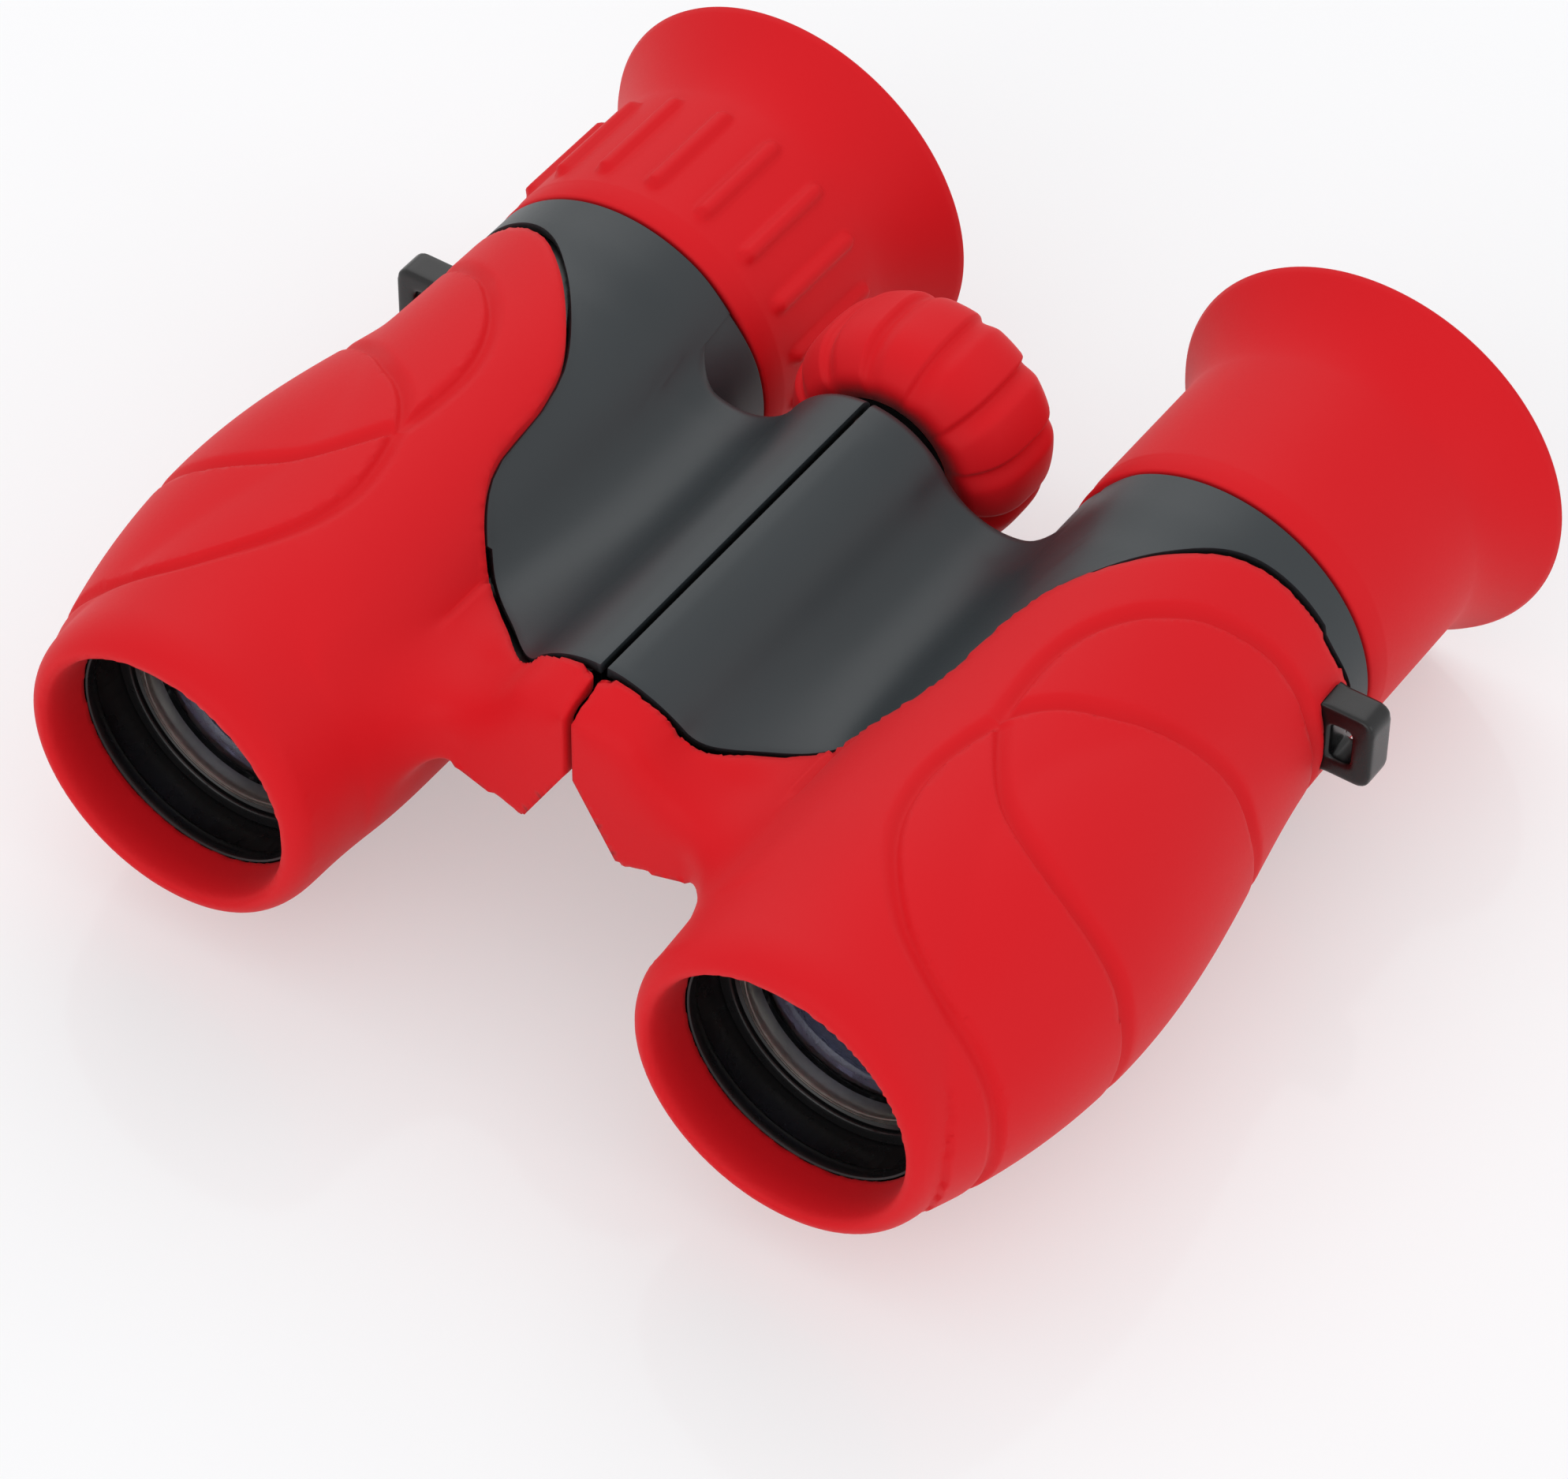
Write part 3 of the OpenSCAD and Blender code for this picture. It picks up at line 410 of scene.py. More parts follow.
for i, (sx, sz, turned) in enumerate(section):
    px = sx if turned is None else BARREL_X + BARREL_R * math.cos(turned)
    front = COLLAR_FRONT
    if turned is None or turned > OUTLINE_END:
        seam = float(np.interp(px, outline[:, 0], outline[:, 1]) + seam_back(px))
        front = min(front, seam + OUTLINE_GAP)
    elif turned > LUG_END:
        front = float(rear_end(math.degrees(turned))) + SEAM / 2
    elif turned < TONGUE_START:
        front = COLLAR_FRONT - TONGUE * float(eased((TONGUE_START - turned) / TONGUE_WIDTH))
    on_barrel, rear = 1.0, COVER_END
    if turned is None:
        on_barrel = float(eased((sx - ON_BARREL_START) / ON_BARREL))
        into_bend = min(max(sx - BEND_END + BEND, 0), BEND)
        rear = WEB_REAR + BEND - math.sqrt(BEND ** 2 - into_bend ** 2)
    # most rows lie evenly; the last ones follow the rear edge, which curls down behind the web
    ahead = np.linspace(front, rear - CURL, ROWS - EDGE_ROWS, endpoint=False)
    for j, y in enumerate([*ahead, *np.linspace(rear - CURL, rear, EDGE_ROWS)]):
        at = (sx, sz + float(valley_lift(sx, y)) * COVER_LIFT)
        if turned is not None:
            up = float(eased((y - STEP_START) / STEP_LENGTH) * eased((barrel_angle - turned) / STEP_WIDTH))
            r = COLLAR_R - STEP_UP + STEP_UP * up
            # the ring's far end slips under the sheet's start
            r -= CLOSING_DROP * float(eased((ring_end + CLOSING - turned) / CLOSING))
            at = (BARREL_X + r * math.cos(turned), r * math.sin(turned))
        past = min(max(y - rear + CURL, 0), CURL)
        curl = (CURL - math.sqrt(CURL ** 2 - past ** 2)) * (1 - on_barrel)
        vert = columns[i * ROWS + j]
        vert.co = Vector((at[0], y + FRONT_Y, at[1] - curl + BARREL_Z)) * MM
        if BLEND_FIRST <= i <= BLEND_LAST and j > 0 and y < BLEND_END:
            blended.append(vert)
# the mould's blends: hub into valley and valley into barrel
for _ in range(BLEND_ROUNDS):
    bmesh.ops.smooth_vert(work, verts=blended, factor=0.5, use_axis_x=True, use_axis_z=True)
bmesh.ops.recalc_face_normals(work, faces=work.faces)
rim = [e for e in work.edges if e.is_boundary]
bmesh.ops.solidify(work, geom=work.faces[:], thickness=COVER_T * MM)
bmesh.ops.bevel(work, geom=rim, offset=RIM_ROUND * MM, affect="EDGES", segments=3, profile=0.5,
                material=-1, clamp_overlap=True)
cover = bpy.data.meshes.new("cover")
work.to_mesh(cover)
work.free()
left_cover = mirrored(cover)
show("right_bridge_cover", cover, satin, "right_half", "satin_grey", "right_cover")
show("left_bridge_cover", left_cover, satin, "left_half", "satin_grey", "left_cover")

# Armour: a soft-touch rubber skin on each barrel, with a round mouth, a grip swell on the outer side,
# a leaf ornament in shallow grooves and an ear at the hinge. It is moulded over the chassis and grips it.
# The solid's surface becomes a fine net, and the net's points are set onto the true curves.
soft_rubber, tree = new_material("soft_touch_rubber_red")
place = add(tree, "ShaderNodeTexCoord").outputs["Object"]
# moulded TPE: the tool's fine spark grain, drawn coarser than life so that it shows
grain = add(tree, "ShaderNodeTexNoise", {"Scale": 1 / (0.35 * MM), "Detail": 3.0, "Roughness": 0.6},
            Vector=place)
# handling leaves slow changes of tone, a few centimetres across
wear = add(tree, "ShaderNodeTexNoise", {"Scale": 1 / (22 * MM), "Detail": 2.0}, Vector=place)
tone = add(tree, "ShaderNodeValToRGB", {"stops": ("#d6121b", "#dc161f")}, Fac=wear.outputs["Fac"])
rough = add(tree, "ShaderNodeMapRange", {"To Min": 0.5, "To Max": 0.62}, Value=grain.outputs["Fac"])
bump = add(tree, "ShaderNodeBump", {"Strength": 0.12, "Distance": 0.06 * MM}, Height=grain.outputs["Fac"])
rubber = add(tree, "ShaderNodeBsdfPrincipled",
             {"IOR": 1.5, "Specular IOR Level": 0.15, "Sheen Weight": 0.03, "Sheen Roughness": 0.5},
             Base_Color=tone.outputs[0], Roughness=rough.outputs[0], Normal=bump.outputs[0])
add(tree, "ShaderNodeOutputMaterial", Surface=rubber.outputs[0])


def remeshed(node, voxel):
    # the CAD solid's own surface as an even net of small squares, which can be smoothed
    raw = bmesh.new()
    raw.from_mesh(nodes[node].data)
    bmesh.ops.remove_doubles(raw, verts=raw.verts, dist=SOLID_WELD * MM)
    mesh = bpy.data.meshes.new("net")
    raw.to_mesh(mesh)
    raw.free()
    holder = bpy.data.objects.new("net", mesh)
    scene.collection.objects.link(holder)
    net = holder.modifiers.new("net", "REMESH")
    net.mode = "VOXEL"
    net.voxel_size = voxel * MM
    made = holder.evaluated_get(bpy.context.evaluated_depsgraph_get())
    result = bpy.data.meshes.new_from_object(made)
    bpy.data.objects.remove(holder)
    return result


def points_of(mesh):
    flat = np.empty(len(mesh.vertices) * 3)
    mesh.vertices.foreach_get("co", flat)
    return flat.reshape(-1, 3) / MM


def move_points(mesh, points):
    mesh.vertices.foreach_set("co", (points * MM).ravel())
    mesh.update()


def relax(mesh, points, weight, rounds):
    # each point moves towards the mean of its neighbours, by its weight
    ends = np.empty(2 * len(mesh.edges), int)
    mesh.edges.foreach_get("vertices", ends)
    a, b = ends.reshape(-1, 2).T
    total = len(points)
    count = np.bincount(a, minlength=total) + np.bincount(b, minlength=total)
    for _ in range(rounds):
        mean = np.stack([np.bincount(a, points[b, k], total) + np.bincount(b, points[a, k], total)
                         for k in range(3)], 1)
        points = points + 0.5 * weight[:, None] * (mean / count[:, None] - points)
    return points


def nearest_on(line, spots):
    best, hit = np.full(len(spots), 1e9), np.zeros_like(spots)
    for a, b in zip(line[:-1], line[1:]):
        t = np.clip((spots - a) @ (b - a) / ((b - a) @ (b - a)), 0, 1)
        foot = a + t[:, None] * (b - a)
        far = np.hypot(*(spots - foot).T)
        nearer = far < best
        best[nearer], hit[nearer] = far[nearer], foot[nearer]
    return best, hit


NOSE_R, CREST_R, REAR_R, NOSE_LEN, NOSE_BLEND, TAPER_START = 16.2, 13.9, 16.7, 5.0, 16, 44.6
SWELL_OUT, SWELL_DROP, SWELL_Y, SWELL_FRONT, SWELL_REAR = 4.4, 0.8, 29.6, 27.0, 42.0
SWELL_FALL, SWELL_SOFT = 5.0, 0.25


def barrel_outside(angle, y):
    # the skin's radius: rounded nose, barrel and taper, with the grip swell blended over them
    short_of_nose = 1 - np.clip(y, 0, NOSE_LEN) / NOSE_LEN
    nose = CREST_R + (NOSE_R - CREST_R) * np.sqrt(np.clip(1 - short_of_nose ** 2, 0, 1))
    body = NOSE_R + (BARREL_R - NOSE_R) * eased((y - NOSE_LEN) / NOSE_BLEND)
    rear = BARREL_R + (REAR_R - BARREL_R) * eased((y - TAPER_START) / (ARMOUR_END - TAPER_START))
    plain = np.where(y < NOSE_LEN, nose, np.where(y < TAPER_START, body, rear))
    d = y - SWELL_Y
    ball = BARREL_R - SWELL_FALL * np.where(d < 0, (d / SWELL_FRONT) ** 2, eased(d / SWELL_REAR))
    across = SWELL_OUT * np.cos(angle) - SWELL_DROP * np.sin(angle)
    reach = across + np.sqrt(np.maximum(ball ** 2 - SWELL_OUT ** 2 - SWELL_DROP ** 2 + across ** 2, 1))
    reach = np.where((d > -SWELL_FRONT) & (d < SWELL_REAR), reach, 0)
    return (plain + reach + np.sqrt((plain - reach) ** 2 + SWELL_SOFT ** 2)) / 2


# leaf grooves as degrees round the barrel (0 outward, 90 on top) and distance from the eyecup rims,
# each with one spot on the leaf's inside
LENGTH = 101.6
leaf_curves = {
    "rear_upper": ([(92, -65.2), (94, -59.9), (94, -55.8), (91, -51.7), (84, -47.8), (76, -45.3), (67, -42.9),
                    (47, -40.4), (39, -39.8), (24, -39.3), (12, -39.2), (-1, -38.7), (-20, -38.5),
                    (-64, -38.5)], (60, -52)),
    "rear_lower": ([(92, -65.2), (87, -62.8), (79, -60.4), (68, -58.5), (59, -56.6), (48, -54.9), (35, -53.6),
                    (25, -52.9), (17, -53), (8, -53.1), (-6, -52.6), (-25, -52.4), (-64, -52.4)], (50, -66)),
    "front_lower": ([(92, -66), (96, -70), (98, -74.6), (95, -79.8), (88, -84.1), (77, -88), (67, -90.4),
                     (52, -92), (37, -92.5), (22, -92.8), (10, -93.1), (-3, -93.5), (-17, -93.4),
                     (-30, -93.3), (-64, -93.3)], (60, -82)),
    "front_upper": ([(91, -66.4), (82, -70.7), (73, -73.8), (59, -76.2), (44, -77.5), (30, -77.7),
                     (15, -77.6), (5, -77.9), (-20, -78), (-64, -78)], (50, -86)),
}
GROOVE, GROOVE_WALL, GROOVE_RUN, GROOVE_END, GROOVE_FADE, CORNER_CUTS = 0.68, 0.6, 1.7, -62, 16, 3


def groove_depth(angle, y):
    # soft run-down on the outside of a leaf, steeper wall on its inside
    spot = np.stack([np.radians(angle) * BARREL_R, y], 1)
    unrolled = [math.radians(1) * BARREL_R, 1]
    depth = np.zeros(len(spot))
    for curve, inside in leaf_curves.values():
        path = np.array(curve, float)
        for _ in range(CORNER_CUTS):
            cut = np.concatenate([0.75 * path[:-1] + 0.25 * path[1:], 0.25 * path[:-1] + 0.75 * path[1:]], 1)
            path = np.concatenate([path[:1], cut.reshape(-1, 2), path[-1:]])
        path = path * unrolled
        core = np.array(inside) * unrolled
        best = np.full(len(spot), 1e9)
        inner = np.zeros(len(spot), bool)
        for a, b in zip(path[:-1], path[1:]):
            step = b - a
            if step @ step < 1e-9:
                continue
            t = np.clip((spot - a) @ step / (step @ step), 0, 1)
            gap = spot - a - t[:, None] * step
            far = np.hypot(*gap.T)
            side = step[0] * gap[:, 1] - step[1] * gap[:, 0]
            core_side = step[0] * (core - a)[1] - step[1] * (core - a)[0]
            nearer = far < best
            best = np.where(nearer, far, best)
            inner = np.where(nearer, side * core_side > 0, inner)
        width = np.where(inner, GROOVE_WALL, GROOVE_RUN)
        depth = np.maximum(depth, GROOVE * (1 - eased(best / width)))
    return depth * eased((angle - GROOVE_END) / GROOVE_FADE)


# the net, cut finer where a groove runs
ARMOUR_NET, INNER_R, LEAF_X = 0.52, 15.9, BARREL_X - 4
armour = remeshed("right_armour", ARMOUR_NET)
work = bmesh.new()
work.from_mesh(armour)
faces = list(work.faces)
middle = np.array([f.calc_center_median() for f in faces]) / MM - [0, FRONT_Y, BARREL_Z]
turned = np.degrees(np.arctan2(middle[:, 2], middle[:, 0] - BARREL_X))
on_skin = np.hypot(middle[:, 0] - BARREL_X, middle[:, 2]) > INNER_R
grooved = on_skin & (middle[:, 0] > LEAF_X) & (groove_depth(turned, middle[:, 1] - LENGTH) > 0.01)
fine = list(dict.fromkeys(e for face, wanted in zip(faces, grooved) if wanted for e in face.edges))
bmesh.ops.subdivide_edges(work, edges=fine, cuts=2, use_grid_fill=True)
work.to_mesh(armour)
work.free()

# how far each point lies inside the solid's faces: skin, and the ear's roof, sole, notch and sloping top
WEB_FRONT, HUB_MEET, BARREL_MEET, ROOF_FOOT = 16.6, 8.74, 20.6, 4
SOLE_X, SOLE_Z, SOLE_RISE, ARCH_START, ARCH_X, ARCH_Z, ARCH_R = 5, -2.0, 0.316, 11.8, 13.5, -3.5, 4.0
NOTCH_COS, NOTCH_SIN, NO_NOTCH = 0.859, 0.512, 9
SLOPE_Z, SLOPE_RISE, SLOPE_COS = 13.54, 0.7, 0.82
raw = points_of(armour) - [0, FRONT_Y, BARREL_Z]
x, along, z = raw.T
angle, radius = np.arctan2(z, x - BARREL_X), np.hypot(x - BARREL_X, z)
turned = np.degrees(angle)
outside = barrel_outside(angle, along)
on_hub = x < HUB_MEET
roof = np.where(on_hub, HUB_R - np.hypot(x, z - HUB_Z), np.hypot(x - VALLEY_X, z - VALLEY_Z) - VALLEY_R)
arch_z = ARCH_Z + np.sqrt(np.clip(ARCH_R ** 2 - (x - ARCH_X) ** 2, 0, ARCH_R ** 2))
sole = z - np.where(x < ARCH_START, SOLE_Z + SOLE_RISE * (x - SOLE_X), arch_z)
notch = np.where(z < HUB_Z, NOTCH_COS * x + NOTCH_SIN * (z - HUB_Z), NO_NOTCH)
slope = (SLOPE_Z + SLOPE_RISE * (along - WEB_FRONT) - z) * SLOPE_COS

# which points belong to the skin, the ear's roof, the inner walls and the rear end above the lug
NEAR, DEEP, WALL_T, END_ROUNDS = 0.35, 1.2, 0.8, 4
SKIN_START, SKIN_END, ROOF_START, ROOF_EDGE = 1.6, ARMOUR_END - 0.4, WEB_FRONT + 0.6, 0.3
TAIL_X, TAIL_START, TAIL_TURN, TAIL_BLEND = 47.5, 66, -20, 2.4
skin = (np.abs(radius - outside) < NEAR) & (along > SKIN_START) & (along < SKIN_END)
roofed = (np.abs(roof) < NEAR) & (x < BARREL_MEET) & (z > ROOF_FOOT)
roofed &= (along > ROOF_START) & (slope > ROOF_EDGE) & ~skin
ear_core = (roof > DEEP) & (sole > DEEP) & (notch > DEEP) & (slope > DEEP) & (along > WEB_FRONT + DEEP)
inside = (radius < outside - WALL_T) | (ear_core & (radius > outside - WALL_T))
tangent = np.gradient(outline, axis=0)
tangent /= np.hypot(*tangent.T)[:, None]
seam_line = outline + SEAM * np.stack([tangent[:, 1], -tangent[:, 0]], 1)
far, foot = nearest_on(seam_line, raw[:, :2])
tail = (x > TAIL_X) & (along > TAIL_START) & (turned > TAIL_TURN)
solid_end = np.interp(turned, (10, 19.5, 23, 27), (ARMOUR_END, 69.22, 68.85, 68.49))
far[tail] = np.abs(solid_end - along)[tail]
ends = ~skin & (along > ARMOUR_END - 1) & (far > 1)
points = relax(armour, raw, ends * 1.0, END_ROUNDS)

# the net's points beside the ear's edges lie a little inside them: they go out onto each face that is near
EDGE, EAR_OFF, EAR_X, EAR_DEEP = 0.5, 0.4, 20, 0.8
in_ear = (radius > outside + EAR_OFF) & (x < EAR_X) & (roof > EAR_DEEP) & (along > WEB_FRONT - 1)
plane = in_ear & (np.abs(along - WEB_FRONT) < EDGE)
points[plane, 1] = WEB_FRONT
arch = np.hypot(x - ARCH_X, z - ARCH_Z)
flat_sole = in_ear & (np.abs(sole) < EDGE) & (x < ARCH_START)
points[flat_sole, 2] -= sole[flat_sole]
round_sole = in_ear & (np.abs(arch - ARCH_R) < EDGE) & (x >= ARCH_START) & (z > ARCH_Z)
points[round_sole, 0] = (ARCH_X + (x - ARCH_X) * ARCH_R / arch)[round_sole]
points[round_sole, 2] = (ARCH_Z + (z - ARCH_Z) * ARCH_R / arch)[round_sole]
off_notch = notch - SPLIT / 2
beside = in_ear & (np.abs(off_notch) < EDGE)
points[beside, 0] -= NOTCH_COS * off_notch[beside]
points[beside, 2] -= NOTCH_SIN * off_notch[beside]

# skin and ear roof onto their true curves, rounded down beside the seam, with the leaf grooves cut in
EDGE_DROP, EDGE_WIDTH, EDGE_FOOT, ROOF_DROP, WALL_NEAR, WALL_FOOT = 0.6, 1.0, 1, 0.5, 0.38, 1.2
CHAMFER_NEAR, CHAMFER_X, CHAMFER_FOOT, CHAMFER_ROOF = 0.42, 12, 8, -0.4
into_edge = np.clip(1 - far / EDGE_WIDTH, 0, 1)
lowered = EDGE_DROP * (1 - np.sqrt(np.clip(1 - into_edge ** 2, 0, 1))) * (z > EDGE_FOOT)
flush = lowered + ROOF_DROP * (1 - rising(x, start=14, over=6.6))
# points of the seam's wall that would stand above the lowered edge go down with it
wall = (far < WALL_NEAR) & (z > WALL_FOOT) & (x > SPLIT) & ~tail
roofed |= wall & (x < BARREL_MEET) & (z > ROOF_FOOT) & (np.abs(roof) < flush) & ~skin
skin |= wall & (x >= BARREL_MEET) & (np.abs(radius - outside) < lowered)
depth = np.maximum(lowered, groove_depth(turned, along - LENGTH) * (x > LEAF_X))
points[skin, 0] = (BARREL_X + (outside - depth) * np.cos(angle))[skin]
points[skin, 2] = ((outside - depth) * np.sin(angle))[skin]
hub_angle = np.arctan2(z - HUB_Z, x)
valley_angle = np.arctan2(z - VALLEY_Z, x - VALLEY_X)
on_hub_x, on_hub_z = (HUB_R - flush) * np.cos(hub_angle), HUB_Z + (HUB_R - flush) * np.sin(hub_angle)
in_valley_x = VALLEY_X + (VALLEY_R + flush) * np.cos(valley_angle)
in_valley_z = VALLEY_Z + (VALLEY_R + flush) * np.sin(valley_angle)
points[roofed, 0] = np.where(on_hub, on_hub_x, in_valley_x)[roofed]
points[roofed, 2] = np.where(on_hub, on_hub_z, in_valley_z)[roofed]
chamfer = (np.abs(slope) < CHAMFER_NEAR) & ~roofed & (x < CHAMFER_X) & (z > CHAMFER_FOOT)
chamfer &= (along > WEB_FRONT) & (roof > CHAMFER_ROOF)
points[chamfer, 2] -= (flush * rising(along - WEB_FRONT, start=0.5, over=3.5))[chamfer]
points[wall, :2] = foot[wall]
points[tail, 1] += ((rear_end(turned) - solid_end) * rising(along, TAIL_START, TAIL_BLEND))[tail]

# mouth lip: a full round outside, a soft one inside, and the bore behind it
LIP_FULL, LIP_DROP, LIP_IN, LIP_BORE, BORE_END = 2.4, 0.8, 3.2, 12.9, 5.4
lip_out = (along < NOSE_LEN) & (radius > CREST_R) & (outside < NOSE_R + 0.2)
up, back = (radius - CREST_R) / (NOSE_R - CREST_R), 1 - along / NOSE_LEN
size = (np.abs(up) ** LIP_FULL + np.abs(back) ** LIP_FULL) ** (1 / LIP_FULL)
lip_radius, lip_along = CREST_R + (NOSE_R - CREST_R) * up / size, NOSE_LEN * (1 - back / size)
lip_in = (along < LIP_IN) & (radius <= CREST_R) & (radius > LIP_BORE)
down, back = (CREST_R - radius) / LIP_DROP, 1 - along / LIP_IN
size = np.hypot(down, back)
lip_radius = np.where(lip_in, CREST_R - LIP_DROP * down / size, lip_radius)
lip_along = np.where(lip_in, LIP_IN * (1 - back / size), lip_along)
lip = lip_in | lip_out
on_lip = [BARREL_X + lip_radius * np.cos(angle), lip_along, lip_radius * np.sin(angle)]
points[lip] = np.stack(on_lip, 1)[lip]
bore = (np.abs(radius - CREST_R + LIP_DROP) < NEAR) & (along >= LIP_IN) & (along < BORE_END)
points[bore, 0] = (BARREL_X + (CREST_R - LIP_DROP) * np.cos(angle))[bore]
points[bore, 2] = ((CREST_R - LIP_DROP) * np.sin(angle))[bore]

# ear: its front runs into the barrel in a wide fillet, and its top edge is soft;
# the split, notch and sole edges stay crisp
FILLET, FILLET_LENGTH, FILLET_TOP, FILLET_FOOT, FILLET_FADE = 5.0, 9, 135, 195, 25
RAISED_FOOT, SOLE_END, LIP_KEPT, TOP_ROUNDS, JUNCTION_ROUNDS = 4.5, 13, 2.5, 80, 40
reach = np.clip(FILLET - np.maximum(radius - outside, 0), 0, FILLET)
forward = FILLET - np.sqrt(FILLET ** 2 - reach ** 2)
round_turn = turned % 360
window = 1 - eased((FILLET_TOP - round_turn) / FILLET_FADE)
window = window * (1 - eased((round_turn - FILLET_FOOT) / FILLET_FADE)) * (x < BARREL_X)
beside_web = 1 - eased(np.abs(along - WEB_FRONT) / FILLET_LENGTH)
points[:, 1] -= forward * window * beside_web * (radius > outside - WALL_T)
raised = roofed | (wall & (z > RAISED_FOOT))
points[raised, 2] += valley_lift(points[:, 0], points[:, 1])[raised]
shallow = np.maximum(1 - rising(roof, start=0.4, over=1.2), rising(z, start=12, over=2))
shallow = shallow * (radius > outside) * (z > ROOF_FOOT)
in_front = rising(along, start=17.5, over=3)
points[:, 1] += seam_back(points[:, 0]) * shallow * in_front * (1 - rising(along, start=24, over=10))
x, along, z = points.T.copy()
top_edge = rising(z, start=3, over=3) * (1 - rising(along, start=20.5, over=2.5))
junction = window * rising(reach, start=0.5, over=2) * (1 - rising(along, start=20, over=5))
keep = rising(x, start=0.9, over=1.2) * rising(notch, start=0.6, over=1.5) * rising(far, start=0.3, over=1.5)
above_sole = np.where(x < SOLE_END, rising(sole, start=0.5, over=1.5), 1)
keep *= above_sole * ~inside * (along > LIP_KEPT) * (1 - rising(x, EAR_X, over=4))
points = relax(armour, points, top_edge * keep, TOP_ROUNDS)
points = relax(armour, points, junction * keep, JUNCTION_ROUNDS)
move_points(armour, points + [0, FRONT_Y, BARREL_Z])
left_armour = mirrored(armour)
show("right_armour_skin", armour, soft_rubber, "right_half", "red_rubber", "right_armour")
show("left_armour_skin", left_armour, soft_rubber, "left_half", "red_rubber", "left_armour")

# Strap lugs: one block of polished black plastic on the outer side of each barrel, with a slot for the cord.
# Each sits on the chassis tube and comes out through the armour, and the part that shows has round edges.
LUG_NET, LUG_ROOT, LUG_BLEND, LUG_ROUNDS = 0.2, 49.8, 1.2, 12
lug = remeshed("right_strap_lug", LUG_NET)
points = points_of(lug)
points = relax(lug, points, eased((points[:, 0] - LUG_ROOT) / LUG_BLEND), LUG_ROUNDS)
move_points(lug, points)
left_lug = mirrored(lug)
show("right_round_lug", lug, polished_black, "right_half", "lug_plastic", "right_strap_lug")
show("left_round_lug", left_lug, polished_black, "left_half", "lug_plastic", "left_strap_lug")

# Eyecups: tubes of the armour's soft rubber that flare to a thin rim, stretched over their sleeves.
# The left one carries eighteen finger ribs and turns the dioptre; the right one is smooth.
CUP_FRONT, CUP_R, RIM_R, RIM_T, CUP_FLOOR, FLOOR_T = 73.1, 16.8, 20.9, 1.3, 92.0, 1.4
SLEEVE_BORE, FLOOR_BORE, FLARE_START, FLARE_POWER, WELL_POWER = 14.9, 12.2, 92.1, 1.7, 1.5
base = [(SLEEVE_BORE, CUP_FRONT), (CUP_R - 0.35, CUP_FRONT), (CUP_R - 0.1, CUP_FRONT + 0.25),
        (CUP_R - 0.1, CUP_FRONT + 2.2), (CUP_R, CUP_FRONT + 2.5)]
tube = [(CUP_R, y) for y in np.arange(CUP_FRONT + 2.9, FLARE_START, 0.45)]
lip = LENGTH - RIM_T / 2
flare = [(CUP_R + (RIM_R - CUP_R) * t ** FLARE_POWER, FLARE_START + (lip - FLARE_START) * t)
         for t in np.linspace(0, 1, 22)]
rim_middle = RIM_R - RIM_T / 2
round_rim = [(rim_middle + RIM_T / 2 * math.cos(a), lip + RIM_T / 2 * math.sin(a))
             for a in np.linspace(0.2, math.pi - 0.2, 8)]
well = [(SLEEVE_BORE + (RIM_R - RIM_T - SLEEVE_BORE) * t ** WELL_POWER, CUP_FLOOR + (lip - CUP_FLOOR) * t)
        for t in np.linspace(1, 0, 18)]
step = [(FLOOR_BORE, CUP_FLOOR), (FLOOR_BORE, CUP_FLOOR - FLOOR_T), (SLEEVE_BORE, CUP_FLOOR - FLOOR_T)]
cup_profile = base + tube + flare[:-1] + round_rim + well[1:] + step

SMOOTH_STEPS, RIBBED_STEPS = 180, 360
FINGER_RIBS, FINGER_RISE, RIB_MIDDLE, RIB_HALF, RIB_CREST, RIB_FLANK = 18, 0.8, 10.7, 5.6, 0.35, 0.75
cup = spun(cup_profile, SMOOTH_STEPS, BARREL_X, BARREL_Z)
show("right_rubber_eyecup", cup, soft_rubber, "right_half", "red_rubber", "right_eyecup")
cup = spun(cup_profile, RIBBED_STEPS, -BARREL_X, BARREL_Z)
points = points_of(cup)
dx, dz, along = points[:, 0] + BARREL_X, points[:, 2] - BARREL_Z, points[:, 1] - FRONT_Y
radius, angle = np.hypot(dx, dz), np.arctan2(dz, dx)
pitch = 2 * math.pi / FINGER_RIBS
across = ((angle / pitch) % 1 - 0.5) * pitch * CUP_R
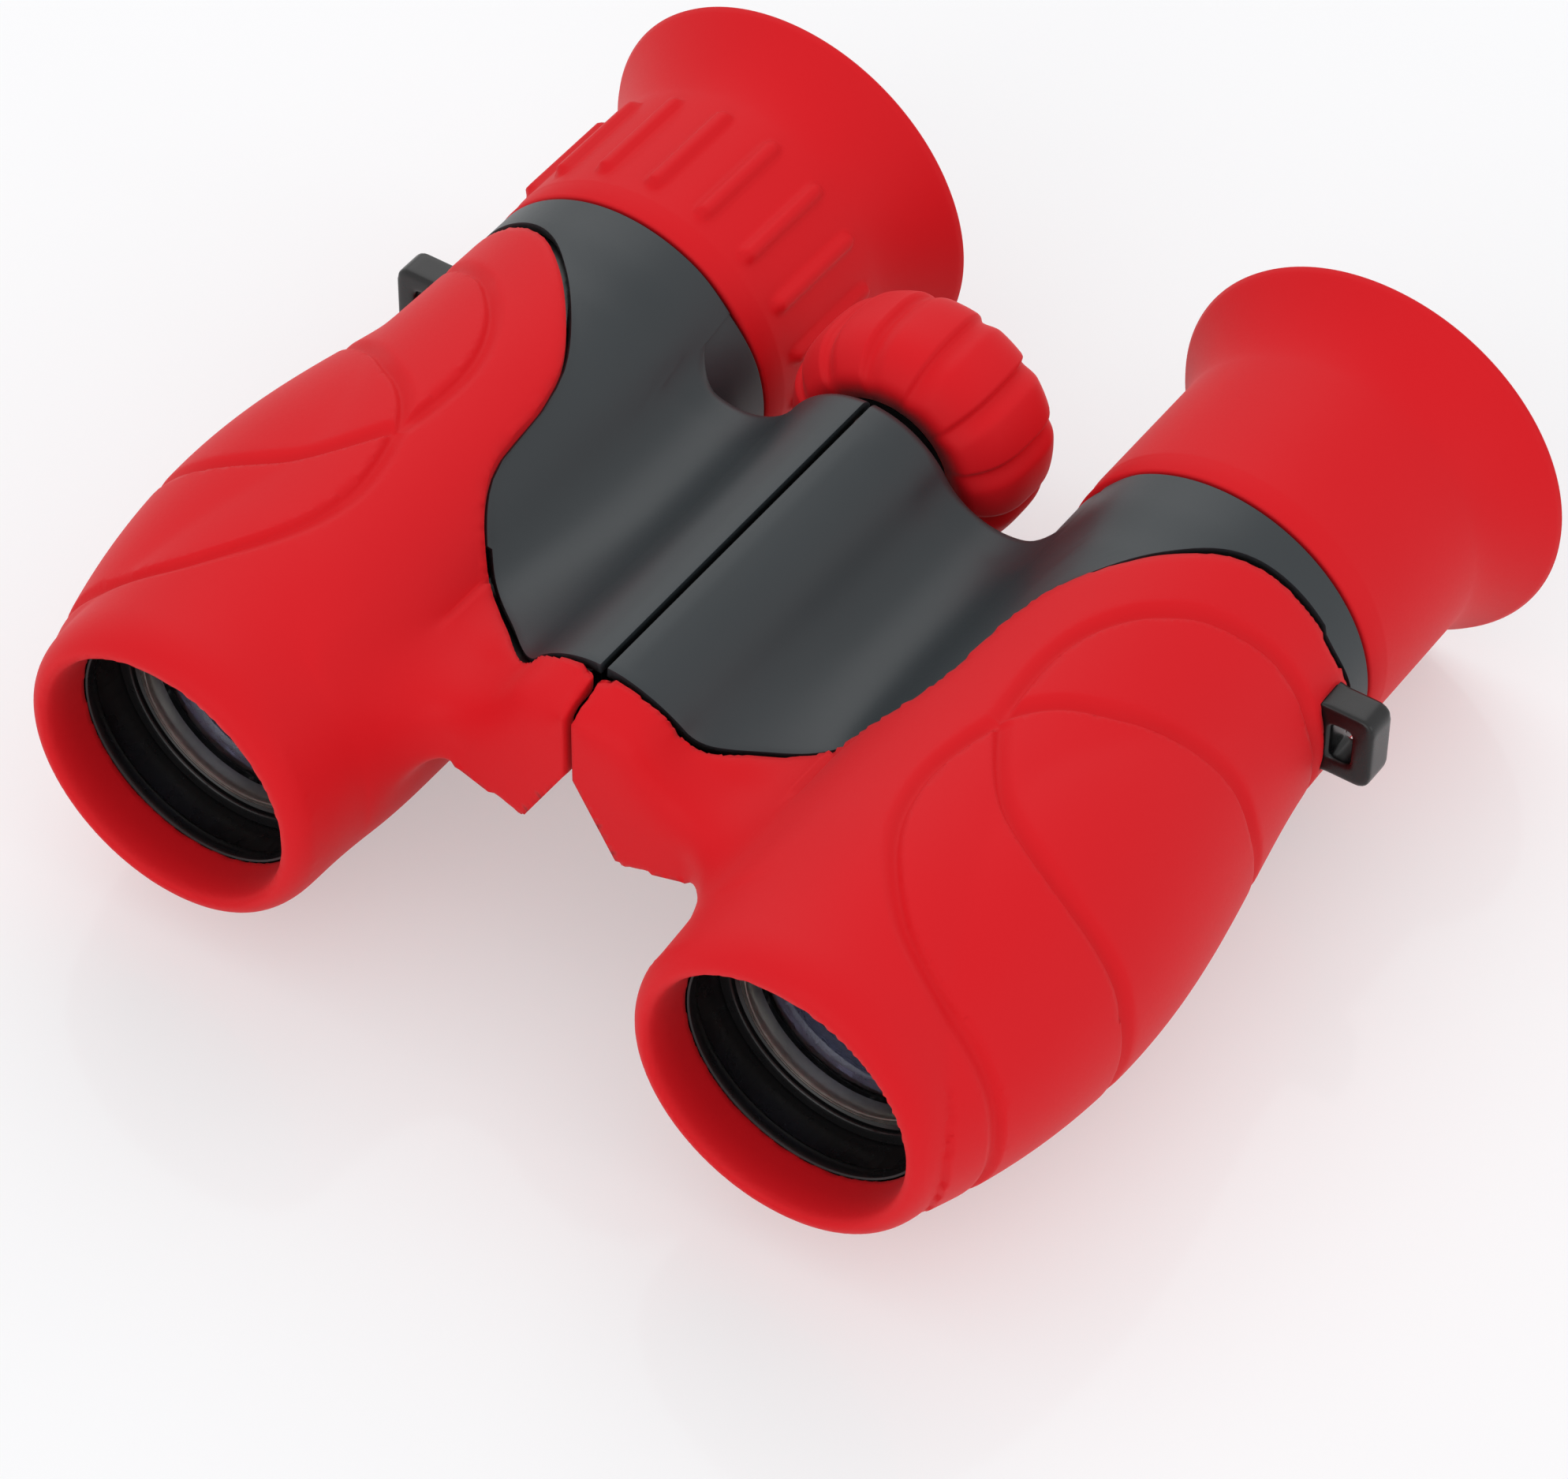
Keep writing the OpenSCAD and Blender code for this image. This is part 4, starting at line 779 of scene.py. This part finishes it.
past = np.maximum(np.abs(along - (CUP_FRONT + RIB_MIDDLE)) - RIB_HALF, 0)
rise = FINGER_RISE * (1 - eased((np.hypot(across, past) - RIB_CREST) / RIB_FLANK))
rise = np.where((radius > CUP_R - 0.2) & (along < FLARE_START + 4), rise, 0)
points[:, 0] += dx / radius * rise
points[:, 2] += dz / radius * rise
move_points(cup, points)
show("left_rubber_eyecup", cup, soft_rubber, "dioptre", "red_rubber", "left_eyecup")

# Focus wheel: a red rubber tyre with twelve finger lobes, moulded on a plastic core
# that runs on the rear spigot of the hinge.
HINGE_Z, WHEEL_FRONT, WHEEL_MID, WHEEL_END, WHEEL_R, TYRE_BORE = 27.3, 67.5, 74.1, 81.3, 12.75, 7.1
BULGE_HALF, BULGE_POWER, TYRE_STEPS = 8.05, 2.87, 288
LOBES, LOBE_DROP, LOBE_SLOPE, LOBE_WALL, LOBE_INNER_R = 12, 0.75, 2.2, 0.6, 8.2
wheel_profile = [(TYRE_BORE, WHEEL_FRONT)]
for t in np.linspace(-1, 1, 41):
    d = (WHEEL_MID - WHEEL_FRONT) * t if t < 0 else (WHEEL_END - WHEEL_MID) * t
    bulge = (1 - abs(d / BULGE_HALF) ** BULGE_POWER) ** (1 / BULGE_POWER)
    wheel_profile.append((WHEEL_R * bulge, WHEEL_MID + d))
wheel_profile.append((TYRE_BORE, WHEEL_END))
tyre = spun(wheel_profile, TYRE_STEPS, 0, HINGE_Z)
points = points_of(tyre)
dx, dz = points[:, 0], points[:, 2] - HINGE_Z
radius, angle = np.hypot(dx, dz), np.arctan2(dz, dx)
pitch = 2 * math.pi / LOBES
across = ((angle / pitch) % 1 - 0.5) * pitch * radius
sink = LOBE_DROP * (1 - eased(np.abs(across) / np.where(across < 0, LOBE_SLOPE, LOBE_WALL)))
sink = np.where(radius > LOBE_INNER_R, sink, 0)
points[:, 0] -= dx / radius * sink
points[:, 2] -= dz / radius * sink
move_points(tyre, points)
show("focus_wheel_rubber", tyre, soft_rubber, "focus_wheel", "red_rubber", "focus_wheel_tyre")
